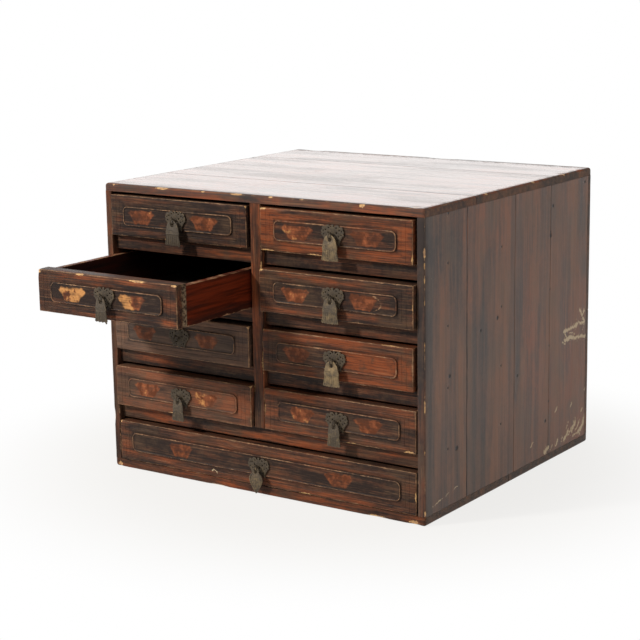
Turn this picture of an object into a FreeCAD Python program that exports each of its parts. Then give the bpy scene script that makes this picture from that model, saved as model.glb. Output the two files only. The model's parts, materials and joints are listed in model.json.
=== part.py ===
"""Tabletop chest with eight small drawers, one wide drawer and hanging metal pulls.

Lengths are in millimetres. The origin is the middle of the case's underside, +X is the
viewer's right, +Y runs from the front of the case to its back, and +Z is up.
"""
import FreeCAD
import Part
import os
from collections import namedtuple

Vector = FreeCAD.Vector

# Case
case_width = 420.0
case_depth = 376.0
case_height = 331.0
top_thickness = 9.0
bottom_thickness = 10.0
side_thickness = 9.5
back_thickness = 8.0
divider_thickness = 14.5
case_edge_round = 2.5

# Planks that make up the boards, from the front edge; the last one takes what is left
top_plank_widths = (104.0, 181.0)
bottom_plank_widths = (179.0,)
right_plank_widths = (85.0, 105.0, 84.0)
left_plank_widths = (96.0, 86.0, 99.0)
back_plank_heights = (152.0,)

# Rails and dust boards between the rows, with the small drawers above the wide one
small_rows = 4
rail_height = 16.0
rail_depth = 24.0
rail_setback = 6.0
dust_board_thickness = 6.0

# Fit of the drawers in their openings
running_gap = 0.3
front_top_gap = 3.1
front_left_gap = 0.6
seated_proud = 0.6
stop_gap = 0.4

# Drawer boards
front_thickness = 16.0
front_edge_round = 1.0
wall_thickness = 7.0
wall_inset = 0.5
side_top_drop = 2.6
back_top_drop = 5.0
floor_thickness = 4.0
floor_lift = 1.5

# Raised panel on each drawer front
panel_margin = 18.5
panel_height = 22.5
panel_rise = 1.8
panel_corner_radius = 6.5
bead_width = 2.2
field_depth = 0.5

# Cloud shaped back plate, its lobes measured from its middle
plate_thickness = 1.2
plate_middle_radius = 8.0
plate_lobe_radius = 5.4
plate_lobe_x = 9.0
plate_lobe_z = 5.8
plate_waist_radius = 3.2
plate_waist_x = 11.0
piercing_radius = 1.0
piercing_inner_x = 4.6

# Split pin with an eye that the pendant hangs on
wire_radius = 0.8
eye_radius = 3.2
eye_distance = 8.0
shank_radius = 1.3
shank_clearance = 0.1
leg_length = 9.0
leg_seat_gap = 0.05

# Pendants, measured from the middle of the hanging hole
pendant_thickness = 1.2
pendant_hole_radius = 2.0
pendant_ear_rise = 5.4
pendant_seat_gap = 0.3
flared_ear_half = 7.5
flared_shoulder_half = 9.3
flared_shoulder_drop = 8.0
flared_foot_half = 10.7
flared_foot_drop = 22.0
flared_foot_sag = 0.6
plain_ear_half = 6.4
plain_shoulder_half = 7.5
plain_shoulder_drop = 7.5
plain_foot_half = 8.5
plain_foot_drop = 21.0
plain_foot_sag = -0.6
spade_ear_half = 4.6
spade_neck_half = 4.8
spade_neck_drop = 1.2
spade_half_width = 9.2
spade_wide_drop = 9.2
spade_drop = 24.5
spade_shoulder_fullness = 0.70
spade_flank_fullness = 0.57

# Nails
nail_shank_radius = 0.8
nail_head_radius = 1.4
nail_head_height = 0.8
nail_length = 18.0
nail_first = 46.0
nail_pitch = 114.0
nail_count = 3

# How far a cutting tool reaches past what it cuts, and the most of a wall that a round takes
cut_past = 1.0
round_share = 0.45

# Drawers from the top row down: how far each face stands in front of the case, the gap at
# its right end, how far its pull sits below the panel's middle and the pendant that it has
left_proud = (2.0, 124.0, 2.0, 4.0)
left_end_gaps = (3.2, 1.6, 3.6, 0.8)
left_pull_drops = (0.0, -1.5, 0.0, 2.5)
left_pendants = ("flared", "plain", None, "plain")
right_proud = (2.3, 5.5, 2.3, 1.3)
right_end_gaps = (3.4, 1.1, 3.4, 1.0)
right_pull_drops = (-1.0, -1.5, 0.8, 1.5)
right_pendants = ("flared", "flared", "flared", "plain")
wide_proud = 0.6
wide_end_gap = 1.1
wide_pull_drop = 1.6

# Places that follow from the sizes above
half_width = case_width / 2
case_front = -case_depth / 2
case_back = case_depth / 2
back_inner = case_back - back_thickness
inner_left = -half_width + side_thickness
inner_right = half_width - side_thickness
inner_bottom = bottom_thickness
inner_top = case_height - top_thickness
divider_left = -divider_thickness / 2
divider_right = divider_thickness / 2
opening_height = (inner_top - inner_bottom - small_rows * rail_height) / (small_rows + 1)
row_pitch = opening_height + rail_height
rail_front = case_front + rail_setback
rail_back = rail_front + rail_depth
drawer_length = back_inner - stop_gap - (case_front - seated_proud)
columns = {
    "left": (inner_left, divider_left),
    "right": (divider_right, inner_right),
    "wide": (inner_left, inner_right),
}


def opening_floor(row):
    """Height of the surface that the drawers of a row slide on; row 1 is the top one."""
    return inner_top - opening_height - (row - 1) * row_pitch


def box(x_range, y_range, z_range):
    """Solid box between pairs of coordinates."""
    size = [high - low for low, high in (x_range, y_range, z_range)]
    return Part.makeBox(*size, Vector(x_range[0], y_range[0], z_range[0]))


def rod(start, direction, length, radius):
    """Round bar from a point along a direction."""
    return Part.makeCylinder(radius, length, Vector(*start), Vector(*direction))


def disc(x, y, z, thickness, radius):
    """Flat disc that faces the front, its front face at y."""
    return rod((x, y, z), (0, 1, 0), thickness, radius)


def plate(edges, y_start, thickness):
    """Flat plate from a closed outline in the XZ plane, given a thickness towards +Y."""
    face = Part.Face(Part.Wire(edges))
    face.translate(Vector(0, y_start, 0))
    return face.extrude(Vector(0, thickness, 0))


def line(start, end):
    """Straight edge in the XZ plane."""
    return Part.LineSegment(Vector(start[0], 0, start[1]), Vector(end[0], 0, end[1])).toShape()


def arc(start, middle, end):
    """Round edge in the XZ plane through three points."""
    return Part.Arc(*[Vector(x, 0, z) for x, z in (start, middle, end)]).toShape()


def group(shapes):
    """One node made of separate solids."""
    members = [solid for shape in shapes for solid in shape.Solids]
    return members[0] if len(members) == 1 else Part.makeCompound(members)


def near(a, b):
    """True where two lengths are the same place."""
    return abs(a - b) < 1e-6


def edges_at(shape, **places):
    """Edges of a shape whose two ends lie at the given places, such as z=0."""
    found = []
    for edge in shape.Edges:
        ends = [vertex.Point for vertex in edge.Vertexes]
        if all(near(getattr(end, axis), place) for axis, place in places.items() for end in ends):
            found.append(edge)
    return found


def edges_along(shape, axis):
    """Edges of a box that run along an axis."""
    return [edge for edge in shape.Edges if not near(*[getattr(end.Point, axis) for end in edge.Vertexes])]


# Nails


def nail(head, direction):
    """A nail whose head lies flush at a point and whose shank runs along a direction."""
    shank = rod(head, direction, nail_length, nail_shank_radius)
    return shank.fuse(rod(head, direction, nail_head_height, nail_head_radius)).removeSplitter()


def make_nails():
    """Nails through the sides into the dust boards, and through lid, floor and back into the sides."""
    nails = []
    places = [case_front + nail_first + index * nail_pitch for index in range(nail_count)]
    for side in (-1, 1):
        edge_middle = side * (half_width - side_thickness / 2)
        for row in range(1, small_rows + 1):
            board_middle = opening_floor(row) - dust_board_thickness / 2
            opening_middle = opening_floor(row) + opening_height / 2
            nails += [nail((side * half_width, y, board_middle), (-side, 0, 0)) for y in places]
            nails.append(nail((edge_middle, case_back, opening_middle), (0, -1, 0)))
        nails += [nail((edge_middle, y, case_height), (0, 0, -1)) for y in places]
        nails += [nail((edge_middle, y, 0), (0, 0, 1)) for y in places]
    return nails


def without_nails(board, nails):
    """Board with the holes that its own nails fill."""
    own = [item for item in nails if item.BoundBox.intersect(board.BoundBox)]
    return board.cut(Part.makeCompound(own)) if own else board


# Case boards


def rounded_lid(z_range, outer_level):
    """Top or bottom board with its outer edges worn round."""
    board = box((-half_width, half_width), (case_front, case_back), z_range)
    radius = min(case_edge_round, round_share * (z_range[1] - z_range[0]))
    return board.makeFillet(radius, edges_at(board, z=outer_level) + edges_along(board, "z"))


def side_board(outer_x, inner_x):
    """Side board between the top and the bottom board, its outer front edge worn round."""
    board = box(sorted((outer_x, inner_x)), (case_front, back_inner), (inner_bottom, inner_top))
    worn = edges_at(board, x=outer_x, y=case_front)
    return board.makeFillet(min(case_edge_round, round_share * side_thickness), worn)


def back_board():
    """Back board behind the sides, its two outer edges worn round."""
    board = box((-half_width, half_width), (back_inner, case_back), (inner_bottom, inner_top))
    worn = edges_at(board, x=-half_width, y=case_back) + edges_at(board, x=half_width, y=case_back)
    return board.makeFillet(min(case_edge_round, round_share * back_thickness), worn)


def rail(span, row):
    """Front rail under a row, set back behind the front edges of the case."""
    floor = opening_floor(row)
    return box(span, (rail_front, rail_back), (floor - rail_height, floor))


def dust_board(span, row):
    """Board behind a rail, level with its upper side, that the drawers slide on."""
    floor = opening_floor(row)
    return box(span, (rail_back, back_inner), (floor - dust_board_thickness, floor))


def planks_in_depth(board, widths):
    """Planks of a board that lie one behind the other and meet face to face."""
    bounds = board.BoundBox
    edges = [bounds.YMin]
    for width in widths:
        edges.append(edges[-1] + width)
    edges.append(bounds.YMax)
    x_range, z_range = (bounds.XMin, bounds.XMax), (bounds.ZMin, bounds.ZMax)
    return [board.common(box(x_range, y_range, z_range)) for y_range in zip(edges, edges[1:])]


def planks_in_height(board, heights):
    """Planks of a board that lie one above the other and meet face to face."""
    bounds = board.BoundBox
    edges = [bounds.ZMin]
    for height in heights:
        edges.append(edges[-1] + height)
    edges.append(bounds.ZMax)
    x_range, y_range = (bounds.XMin, bounds.XMax), (bounds.YMin, bounds.YMax)
    return [board.common(box(x_range, y_range, z_range)) for z_range in zip(edges, edges[1:])]


def make_case():
    """All nodes of the fixed case."""
    nails = make_nails()
    planks = {
        "top_board": planks_in_depth(rounded_lid((inner_top, case_height), case_height), top_plank_widths),
        "bottom_board": planks_in_depth(rounded_lid((0, bottom_thickness), 0), bottom_plank_widths),
        "left_side_board": planks_in_depth(side_board(-half_width, inner_left), left_plank_widths),
        "right_side_board": planks_in_depth(side_board(half_width, inner_right), right_plank_widths),
        "back_board": planks_in_height(back_board(), back_plank_heights),
    }
    nodes = {}
    for name, boards in planks.items():
        nodes[name] = group([without_nails(board, nails) for board in boards])
    divider_levels = (opening_floor(small_rows), inner_top)
    nodes["centre_divider"] = box((divider_left, divider_right), (case_front, back_inner), divider_levels)
    for column in ("left", "right"):
        rows = range(1, small_rows)
        nodes[column + "_rails"] = group([rail(columns[column], row) for row in rows])
        boards = [dust_board(columns[column], row) for row in rows]
        nodes[column + "_dust_boards"] = group([without_nails(board, nails) for board in boards])
    nodes["wide_rail"] = rail(columns["wide"], small_rows)
    nodes["wide_dust_board"] = without_nails(dust_board(columns["wide"], small_rows), nails)
    nodes["case_nails"] = group(nails)
    return nodes


# Drawers


Drawer = namedtuple("Drawer", "name column row proud right_gap pull_drop pendant")


def column_drawers(column, *values):
    """Drawers of one column of small drawers, from the top down."""
    rows = enumerate(zip(*values), 1)
    return [Drawer(column + "_drawer_" + str(row), column, row, *row_values) for row, row_values in rows]


drawers = [
    *column_drawers("left", left_proud, left_end_gaps, left_pull_drops, left_pendants),
    *column_drawers("right", right_proud, right_end_gaps, right_pull_drops, right_pendants),
    Drawer("wide_drawer", "wide", small_rows + 1, wide_proud, wide_end_gap, wide_pull_drop, "spade"),
]


def front_span(drawer):
    """Left and right end of a drawer's front."""
    left, right = columns[drawer.column]
    return left + front_left_gap, right - drawer.right_gap


def front_levels(drawer):
    """Lower and upper edge of a drawer's front."""
    floor = opening_floor(drawer.row)
    return floor + running_gap, floor + opening_height - front_top_gap


def face_place(drawer):
    """Where the flat of a drawer's front lies along the depth."""
    return case_front - drawer.proud


def pull_middle(drawer):
    """Middle of the eye: X, place along the depth and height."""
    left, right = front_span(drawer)
    bottom, top = front_levels(drawer)
    return (left + right) / 2, face_place(drawer) - eye_distance, (bottom + top) / 2 - drawer.pull_drop


def rounded_panel(x_range, z_range, radius, y_start, thickness):
    """Flat panel with round corners."""
    board = box(x_range, (y_start, y_start + thickness), z_range)
    limit = round_share * (z_range[1] - z_range[0])
    return board.makeFillet(min(radius, limit), edges_along(board, "y"))


def drawer_front(drawer):
    """Front board with its raised panel, the sunk field inside the bead and the pin's hole."""
    x_range = front_span(drawer)
    z_range = front_levels(drawer)
    face = face_place(drawer)
    board = box(x_range, (face, face + front_thickness), z_range)
    board = board.makeFillet(front_edge_round, edges_at(board, y=face))
    middle_z = sum(z_range) / 2
    panel_x = (x_range[0] + panel_margin, x_range[1] - panel_margin)
    panel_z = (middle_z - panel_height / 2, middle_z + panel_height / 2)
    panel_face = face - panel_rise
    panel = rounded_panel(panel_x, panel_z, panel_corner_radius, panel_face, panel_rise + front_edge_round)
    field_x = (panel_x[0] + bead_width, panel_x[1] - bead_width)
    field_z = (panel_z[0] + bead_width, panel_z[1] - bead_width)
    field = rounded_panel(field_x, field_z, panel_corner_radius - bead_width, panel_face, field_depth)
    pull_x, _, pull_z = pull_middle(drawer)
    hole_length = panel_rise + front_thickness + 2 * cut_past
    hole = disc(pull_x, panel_face - cut_past, pull_z, hole_length, shank_radius + shank_clearance)
    return board.fuse(panel).cut(field).cut(hole).removeSplitter()


def drawer_walls(drawer):
    """Left side, right side and back of a drawer, as separate boards."""
    left, right = front_span(drawer)
    bottom, top = front_levels(drawer)
    start = face_place(drawer) + front_thickness
    end = face_place(drawer) + drawer_length
    side_top = top - side_top_drop
    left_x = (left + wall_inset, left + wall_inset + wall_thickness)
    right_x = (right - wall_inset - wall_thickness, right - wall_inset)
    floor_top = bottom + floor_lift + floor_thickness
    left_side = box(left_x, (start, end), (bottom, side_top))
    right_side = box(right_x, (start, end), (bottom, side_top))
    back = box((left_x[1], right_x[0]), (end - wall_thickness, end), (floor_top, side_top - back_top_drop))
    return left_side, right_side, back


def drawer_bottom(drawer):
    """Thin bottom between the two sides, under the back."""
    left, right = front_span(drawer)
    level = front_levels(drawer)[0] + floor_lift
    inset = wall_inset + wall_thickness
    y_range = (face_place(drawer) + front_thickness, face_place(drawer) + drawer_length)
    return box((left + inset, right - inset), y_range, (level, level + floor_thickness))


# Pulls


def pull_plate(drawer):
    """Pierced back plate in the shape of a cloud, flat on the raised panel."""
    x, _, z = pull_middle(drawer)
    y = face_place(drawer) - panel_rise - plate_thickness
    piercing_start = y - cut_past
    piercing_length = plate_thickness + 2 * cut_past
    body = disc(x, y, z, plate_thickness, plate_middle_radius)
    lobes = []
    holes = [disc(x, piercing_start, z, piercing_length, shank_radius + shank_clearance)]
    for side in (-1, 1):
        lobes.append(disc(x + side * plate_waist_x, y, z, plate_thickness, plate_waist_radius))
        holes.append(disc(x + side * piercing_inner_x, piercing_start, z, piercing_length, piercing_radius))
        for level in (-1, 1):
            lobe_x, lobe_z = x + side * plate_lobe_x, z + level * plate_lobe_z
            lobes.append(disc(lobe_x, y, lobe_z, plate_thickness, plate_lobe_radius))
            holes.append(disc(lobe_x, piercing_start, lobe_z, piercing_length, piercing_radius))
    return body.fuse(lobes).removeSplitter().cut(Part.makeCompound(holes))


def split_pin(drawer):
    """Bent wire pin: the eye in front, the shank through the front and two legs opened behind it."""
    x, y, z = pull_middle(drawer)
    eye = Part.makeTorus(eye_radius, wire_radius, Vector(x, y, z), Vector(1, 0, 0))
    inner_face = face_place(drawer) + front_thickness
    leg_y = inner_face + leg_seat_gap + wire_radius
    shank = rod((x, y + eye_radius, z), (0, 1, 0), leg_y - y - eye_radius, shank_radius)
    legs = rod((x, leg_y, z - leg_length), (0, 0, 1), 2 * leg_length, wire_radius)
    return eye.fuse([shank, legs]).removeSplitter()


def hanging_hole(drawer):
    """Middle of the pendant's hole, whose upper rim lies just under the lowest part of the eye."""
    x, y, z = pull_middle(drawer)
    slack = pendant_hole_radius - wire_radius - pendant_seat_gap
    return x, y, z - eye_radius - slack


def ear_arc(half):
    """Round top of a pendant, from its left to its right end beside the hole."""
    return arc((-half, 0), (0, pendant_ear_rise), (half, 0))


def flat_pendant(ear_half, shoulder, foot, sag):
    """Outline of a pendant that widens from its round top to a nearly straight foot."""
    ears, shoulders, corners = [
        [(side * half, -drop) for side in (-1, 1)] for half, drop in ((ear_half, 0), shoulder, foot)
    ]
    return [
        ear_arc(ear_half),
        line(ears[1], shoulders[1]),
        line(shoulders[1], corners[1]),
        arc(corners[1], (0, -foot[1] - sag), corners[0]),
        line(corners[0], shoulders[0]),
        line(shoulders[0], ears[0]),
    ]


def flared_pendant():
    """Outline of the wide pendant."""
    shoulder = (flared_shoulder_half, flared_shoulder_drop)
    return flat_pendant(flared_ear_half, shoulder, (flared_foot_half, flared_foot_drop), flared_foot_sag)


def plain_pendant():
    """Outline of the narrower pendant."""
    shoulder = (plain_shoulder_half, plain_shoulder_drop)
    return flat_pendant(plain_ear_half, shoulder, (plain_foot_half, plain_foot_drop), plain_foot_sag)


def spade_pendant():
    """Outline of a spade: a round top, round shoulders and flanks that meet in a point."""
    neck = (spade_neck_half, -spade_neck_drop)
    wide = (spade_half_width, -spade_wide_drop)
    tip = (0, -spade_drop)
    upper = (
        neck[0] + spade_shoulder_fullness * (wide[0] - neck[0]),
        neck[1] + (1 - spade_shoulder_fullness) * (wide[1] - neck[1]),
    )
    lower = (wide[0] * spade_flank_fullness, wide[1] + spade_flank_fullness * (tip[1] - wide[1]))
    left_lower, left_wide, left_upper, left_neck = [(-x, z) for x, z in (lower, wide, upper, neck)]
    return [
        ear_arc(spade_ear_half),
        line((spade_ear_half, 0), neck),
        arc(neck, upper, wide),
        arc(wide, lower, tip),
        arc(tip, left_lower, left_wide),
        arc(left_wide, left_upper, left_neck),
        line(left_neck, (-spade_ear_half, 0)),
    ]


def pendant(drawer):
    """Pendant that hangs on the eye of a drawer's pin."""
    outlines = {
        "flared": flared_pendant,
        "plain": plain_pendant,
        "spade": spade_pendant,
    }
    x, y, z = hanging_hole(drawer)
    front = y - pendant_thickness / 2
    blank = plate(outlines[drawer.pendant](), front, pendant_thickness)
    blank.translate(Vector(x, 0, z))
    return blank.cut(disc(x, front - cut_past, z, pendant_thickness + 2 * cut_past, pendant_hole_radius))


def make_drawer(drawer):
    """All nodes of one drawer; the open one shows its boards, so they are nodes of their own."""
    nodes = {
        drawer.name + "_front": drawer_front(drawer),
        drawer.name + "_bottom": drawer_bottom(drawer),
        drawer.name + "_pull_mount": group([pull_plate(drawer), split_pin(drawer)]),
    }
    walls = drawer_walls(drawer)
    if drawer.proud > front_thickness:
        for label, wall in zip(("left_side", "right_side", "back"), walls):
            nodes[drawer.name + "_" + label] = wall
    else:
        nodes[drawer.name + "_walls"] = group(walls)
    if drawer.pendant:
        nodes[drawer.name + "_pendant"] = pendant(drawer)
    return nodes


def make_all():
    """Every node of the chest, by name."""
    nodes = make_case()
    for drawer in drawers:
        nodes.update(make_drawer(drawer))
    return nodes


os.makedirs("parts", exist_ok=True)
for node_name, node_shape in make_all().items():
    node_shape.exportStep("parts/" + node_name + ".step")
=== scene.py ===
"""Looks of a tabletop chest of drawers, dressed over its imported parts.

Shapes are worked out in millimetres and become metres when a mesh is made. +X is the viewer's
right, +Y runs from the front of the case to its back, and +Z is up.
"""
import functools
import json
import math
import types

import bmesh
import bpy
import numpy as np
from mathutils import Euler, Matrix, Vector


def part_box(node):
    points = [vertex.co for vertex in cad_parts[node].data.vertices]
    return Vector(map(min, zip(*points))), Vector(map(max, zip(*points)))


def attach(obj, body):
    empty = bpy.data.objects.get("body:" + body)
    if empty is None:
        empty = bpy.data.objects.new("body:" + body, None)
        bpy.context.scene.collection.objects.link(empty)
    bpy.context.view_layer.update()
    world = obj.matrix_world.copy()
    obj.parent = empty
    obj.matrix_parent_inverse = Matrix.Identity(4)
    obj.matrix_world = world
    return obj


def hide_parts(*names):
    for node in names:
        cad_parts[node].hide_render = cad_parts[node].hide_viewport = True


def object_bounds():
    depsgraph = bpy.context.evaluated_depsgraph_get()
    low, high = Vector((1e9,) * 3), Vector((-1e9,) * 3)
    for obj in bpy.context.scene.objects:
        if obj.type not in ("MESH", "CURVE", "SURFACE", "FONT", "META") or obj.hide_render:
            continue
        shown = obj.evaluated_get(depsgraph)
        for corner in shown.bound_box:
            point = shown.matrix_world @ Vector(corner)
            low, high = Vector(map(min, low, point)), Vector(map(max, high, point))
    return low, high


bl_info = {
    "name": "Tabletop Chest of Drawers",
    "version": (1, 0, 0),
    "blender": (4, 5, 0),
    "location": "3D View > Sidebar > Chest",
    "description": "Builds the worn lacquered boards, drawer fronts and metal pulls of a tabletop chest",
    "category": "Object",
}

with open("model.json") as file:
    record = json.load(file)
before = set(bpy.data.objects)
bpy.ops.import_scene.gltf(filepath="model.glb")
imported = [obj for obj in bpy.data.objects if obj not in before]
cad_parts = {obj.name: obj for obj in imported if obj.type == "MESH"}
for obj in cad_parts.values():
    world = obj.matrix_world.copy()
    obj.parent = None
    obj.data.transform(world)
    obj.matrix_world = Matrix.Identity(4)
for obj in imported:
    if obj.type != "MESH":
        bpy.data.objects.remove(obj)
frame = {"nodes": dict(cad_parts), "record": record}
CAD_BOX = [list(corner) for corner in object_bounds()]
RECORD = frame["record"]
BODY_OF = {node: body for body, nodes in RECORD["behaviour"]["bodies"].items() for node in nodes}
MM = 0.001

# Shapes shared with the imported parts, in millimetres
PANEL_MARGIN = 18.5
PANEL_HEIGHT = 22.5
PANEL_RISE = 1.8
PANEL_CORNER = 6.5
EYE_RADIUS = 3.2
EYE_DISTANCE = 8.0
HANGING_HOLE = 2.0
HANGING_DROP = 4.1
SHANK_HOLE = 1.4

# Details that only the looks have, in millimetres
LINE_BORDER = 5.2  # from a front's panel to the incised frame about it
LINE_ENDS = 10.5  # from a front's panel to the upright lines at its ends
LINE_WIDTH = 0.5
LINE_DEPTH = 0.35
SEAM_HALF_WIDTH = 0.6
PIT_DEPTH = 0.4
NAIL_PIT = 1.7
NAIL_SUNK = 0.42
OUTER_SKIN = 3.2  # how deep the case's outer faces lie at the most, with their rounded edges
POLISH_RIM = 10.0
FLUTES = (-0.84, -0.56, -0.28, 0.0, 0.28, 0.56, 0.84)  # places across a pendant's half width
PLATE_BEVEL = 0.00022  # in metres, as modifiers take it
PENDANT_BEVEL = 0.0002
FLOOR_HALF = 14.0  # in metres

# Lamps: the setting of their power, place, target, width and height in metres, and colour
LAMPS = {
    "Key Light": ("key", (-1.5, -2.3, 1.85), (0.0, -0.05, 0.15), (0.34, 0.34), (1.0, 0.965, 0.92)),
    "Side Light": ("side", (2.7, -0.7, 1.3), (0.2, 0.0, 0.15), (1.8, 1.4), (1.0, 0.965, 0.92)),
    "Back Light": ("back", (-1.5, 2.9, 0.75), (0.0, 0.0, 0.3), (3.4, 1.1), (1.0, 0.845, 0.79)),
}

# Case boards: the radius of each low and high side (0.2 where a board meets another), the grid
# step, the axis of the grain, the axis the planks lie along and the places where planks meet
CASE_BOARDS = {
    "top_board": ((5.0, 2.8, 0.05), (3.4, 3.0, 3.4), (2.6, 5.0, 3.0), 0, 1, (-84.0, 97.0)),
    "bottom_board": ((4.6, 2.8, 3.4), (3.2, 2.5, 0.05), (3.0, 6.0, 3.0), 0, 1, (-9.0,)),
    "left_side_board": ((3.0, 2.6, 0.05), (0.4, 0.2, 0.05), (3.0, 6.0, 3.0), 2, 1, (-92.0, -6.0, 93.0)),
    "right_side_board": ((0.4, 2.6, 0.05), (3.0, 0.2, 0.05), (3.0, 5.0, 2.6), 2, 1, (-103.0, 2.0, 86.0)),
    "back_board": ((2.5, 0.2, 0.2), (2.5, 2.5, 0.2), (5.0, 3.0, 6.0), 0, 2, (162.0,)),
    "centre_divider": ((1.4, 1.6, 0.2), (1.4, 0.2, 0.2), (3.0, 8.0, 2.6), 2, None, ()),
}
RAILS = ("left_rails", "right_rails", "wide_rail")
DUST_BOARDS = ("left_dust_boards", "right_dust_boards", "wide_dust_board")

# Chips in the lacquer of the case, as X, Y, Z and the length and height of the chip
CHIPS = {
    "top_board": [
        (-128, -188, 331, 11, 3), (-70, -188, 331, 3, 3), (-25, -188, 331, 10, 2), (20, -188, 331, 3, 2),
        (135, -188, 330, 4, 4), (60, -188, 331, 3, 1.5), (-197, -188, 331, 3, 3), (10, 188, 331, 22, 4),
        (-178, 188, 331, 15, 4), (210, -60, 331, 5, 2), (210, 45, 331, 7, 2), (208, 120, 331, 10, 3),
        (196, -182, 331, 6, 3),
    ],
    "bottom_board": [
        (150, -188, 1, 14, 2), (196, -188, 2, 8, 3), (-60, -188, 0, 12, 2), (-203, -188, 3, 4, 4),
    ],
    "left_side_board": [(-210, -188, 210, 3, 10), (-210, -188, 60, 3, 8)],
    "right_side_board": [
        (210, -188, 286, 3.0, 7), (210, -188, 273, 1.2, 5), (210, -188, 259, 1.5, 5),
        (210, -188, 236, 1.0, 4), (210, -188, 128, 1.8, 9), (210, -188, 79, 1.2, 4),
        (210, -188, 13, 2.4, 4), (210, -188, 190, 1.0, 6),
    ],
    "right_rails": [(71, -184, 261, 2.6, 2.4), (150, -184, 198, 3, 1.2)],
    "centre_divider": [(7.25, -188, 250, 2, 14), (-7.25, -188, 120, 2, 10), (7.25, -188, 150, 2, 16)],
}

# Where the lacquer is worn down to red-brown: level all over a board, then places as X, Z, the
# half width and half height of the place, and how much redder it is
CASE_TINTS = {
    "top_board": (0.52, [(-60, 326, 60, 8, 0.15), (-10, 326, 14, 8, -0.25), (60, 326, 25, 8, -0.2)]),
    "bottom_board": (0.42, [(-120, 5, 60, 8, 0.15), (60, 5, 80, 8, 0.12)]),
    "left_side_board": (0.32, []),
    "right_side_board": (0.5, []),
    "back_board": (0.38, []),
    "centre_divider": (0.46, [(0, 215, 10, 40, 0.12), (0, 105, 10, 20, -0.2)]),
    "left_rails": (0.34, [(-60, 264, 50, 8, 0.3), (-150, 133, 40, 8, 0.3), (-20, 133, 30, 10, -0.1)]),
    "right_rails": (0.32, [(150, 198, 60, 8, 0.16), (60, 264, 30, 10, -0.05)]),
    "wide_rail": (0.40, [(60, 68, 60, 10, 0.15), (-150, 66, 40, 6, 0.3), (-40, 62, 30, 8, 0.1)]),
}
# The same for the right side, as Y and Z, and the lines that its open crack needs
SIDE_TINTS = [
    (40, 180, 14, 60, 0.4), (-68, 301, 14, 34, 0.25), (172, 175, 12, 30, 0.3), (140, 50, 60, 60, 0.15),
    (-181, 165, 9, 400, -0.45), (-120, 250, 16, 60, -0.15), (-90, 90, 10, 110, -0.35),
    (70, 285, 60, 30, -0.12), (-40, 60, 14, 50, 0.2), (100, 120, 10, 70, 0.18), (160, 130, 40, 80, 0.22),
    (45, 130, 30, 120, 0.12), (-60, 170, 50, 30, -0.15), (-70, 60, 60, 40, -0.08), (-150, 280, 30, 50, -0.2),
    (165, 40, 40, 50, 0.35), (75, 90, 30, 80, 0.15), (174, 186, 6, 24, 0.5),
]
CRACK_LINES = [-103.0 + shift for shift in (-2.8, -2.0, -1.4, -1.0, 0.0, 1.0, 1.4, 2.0, 2.8)]
FRONT_TINTS = {
    "left_drawer_1": (0.14, [(-160, 280, 40, 4, 0.32), (-40, 285, 30, 6, 0.2), (-190, 290, 9, 7, 0.4),
                            (-140, 315, 60, 3, 0.3), (-20, 310, 12, 8, 0.15)]),
    "left_drawer_2": (0.3, [(-150, 249, 50, 3, 0.45), (-60, 249, 40, 3, 0.3), (-20, 212, 12, 6, 0.35),
                            (-60, 212, 60, 3, 0.1)]),
    "left_drawer_3": (0.36, [(-190, 160, 9, 7, 0.35), (-60, 146, 60, 3, 0.1)]),
    "left_drawer_4": (0.56, [(-58, 99, 48, 12, 0.9), (-20, 90, 12, 12, 0.3), (-120, 118, 70, 3, 0.25)]),
    "right_drawer_1": (0.6, [(100, 280, 90, 4, 0.15), (187, 297, 8, 14, 0.3), (60, 316, 40, 3, -0.3),
                             (92, 296, 20, 8, -0.3), (170, 296, 10, 8, -0.35), (35, 298, 9, 8, -0.3)]),
    "right_drawer_2": (0.36, [(60, 249, 60, 3, 0.4), (60, 212, 60, 4, 0.35), (185, 230, 16, 24, -0.25)]),
    "right_drawer_3": (0.58, [(148, 166, 46, 11, 0.8), (187, 165, 9, 18, 0.35), (20, 165, 16, 22, -0.3),
                              (60, 146, 60, 4, -0.2), (80, 184, 60, 3, 0.2), (95, 166, 16, 8, -0.25)]),
    "right_drawer_4": (0.49, [(40, 118, 40, 3, 0.4), (120, 80, 70, 4, 0.15), (180, 118, 20, 4, 0.3)]),
    "wide_drawer": (0.4, [(60, 14, 120, 3, 0.3), (-60, 54, 120, 3, 0.2), (-150, 20, 40, 4, 0.15),
                          (20, 20, 40, 4, 0.2), (-192, 33, 8, 16, 0.2)]),
}
# How much of the dull film and its painted sheen lies on a drawer front
FRONT_FILM_AND_SHEEN = {"left_drawer_3": 1.0, "left_drawer_4": 0.4, "right_drawer_4": 0.15, "wide_drawer": 0.1}

# Faded ornaments on the panels: X of the middle, width, and how golden the left and right half are
MOTIFS = {
    "left_drawer_1": [(-155.0, 38, 0.1, 0.15), (-67.0, 39, 0.1, 0.15)],
    "left_drawer_2": [(-151.0, 38, 0.75, 0.95), (-68.0, 40, 0.95, 0.1)],
    "left_drawer_3": [(-156.0, 34, 0.0, 0.1), (-67.5, 35, 0.1, 0.0)],
    "left_drawer_4": [(-153.5, 37, 0.35, 0.2), (-70.0, 34, 0.62, 0.2)],
    "right_drawer_1": [(56.5, 40, 0.4, 0.1), (143.5, 43, 0.05, 0.05)],
    "right_drawer_2": [(55.0, 38, 0.15, 0.3), (140.0, 36, 0.1, 0.05)],
    "right_drawer_3": [(53.5, 36, 0.15, 0.1)],
    "right_drawer_4": [(58.0, 33, 0.3, 0.4), (142.5, 36, 0.1, 0.1)],
    "wide_drawer": [(-110.0, 34, 0.05, 0.05), (104.5, 37, 0.05, 0.1)],
}
# Pale ring where lacquer has peeled right of an ornament, as drawer, X, half width and half height
PEELED_RING = ("right_drawer_2", 139.0, 23.0, 9.6)
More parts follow.
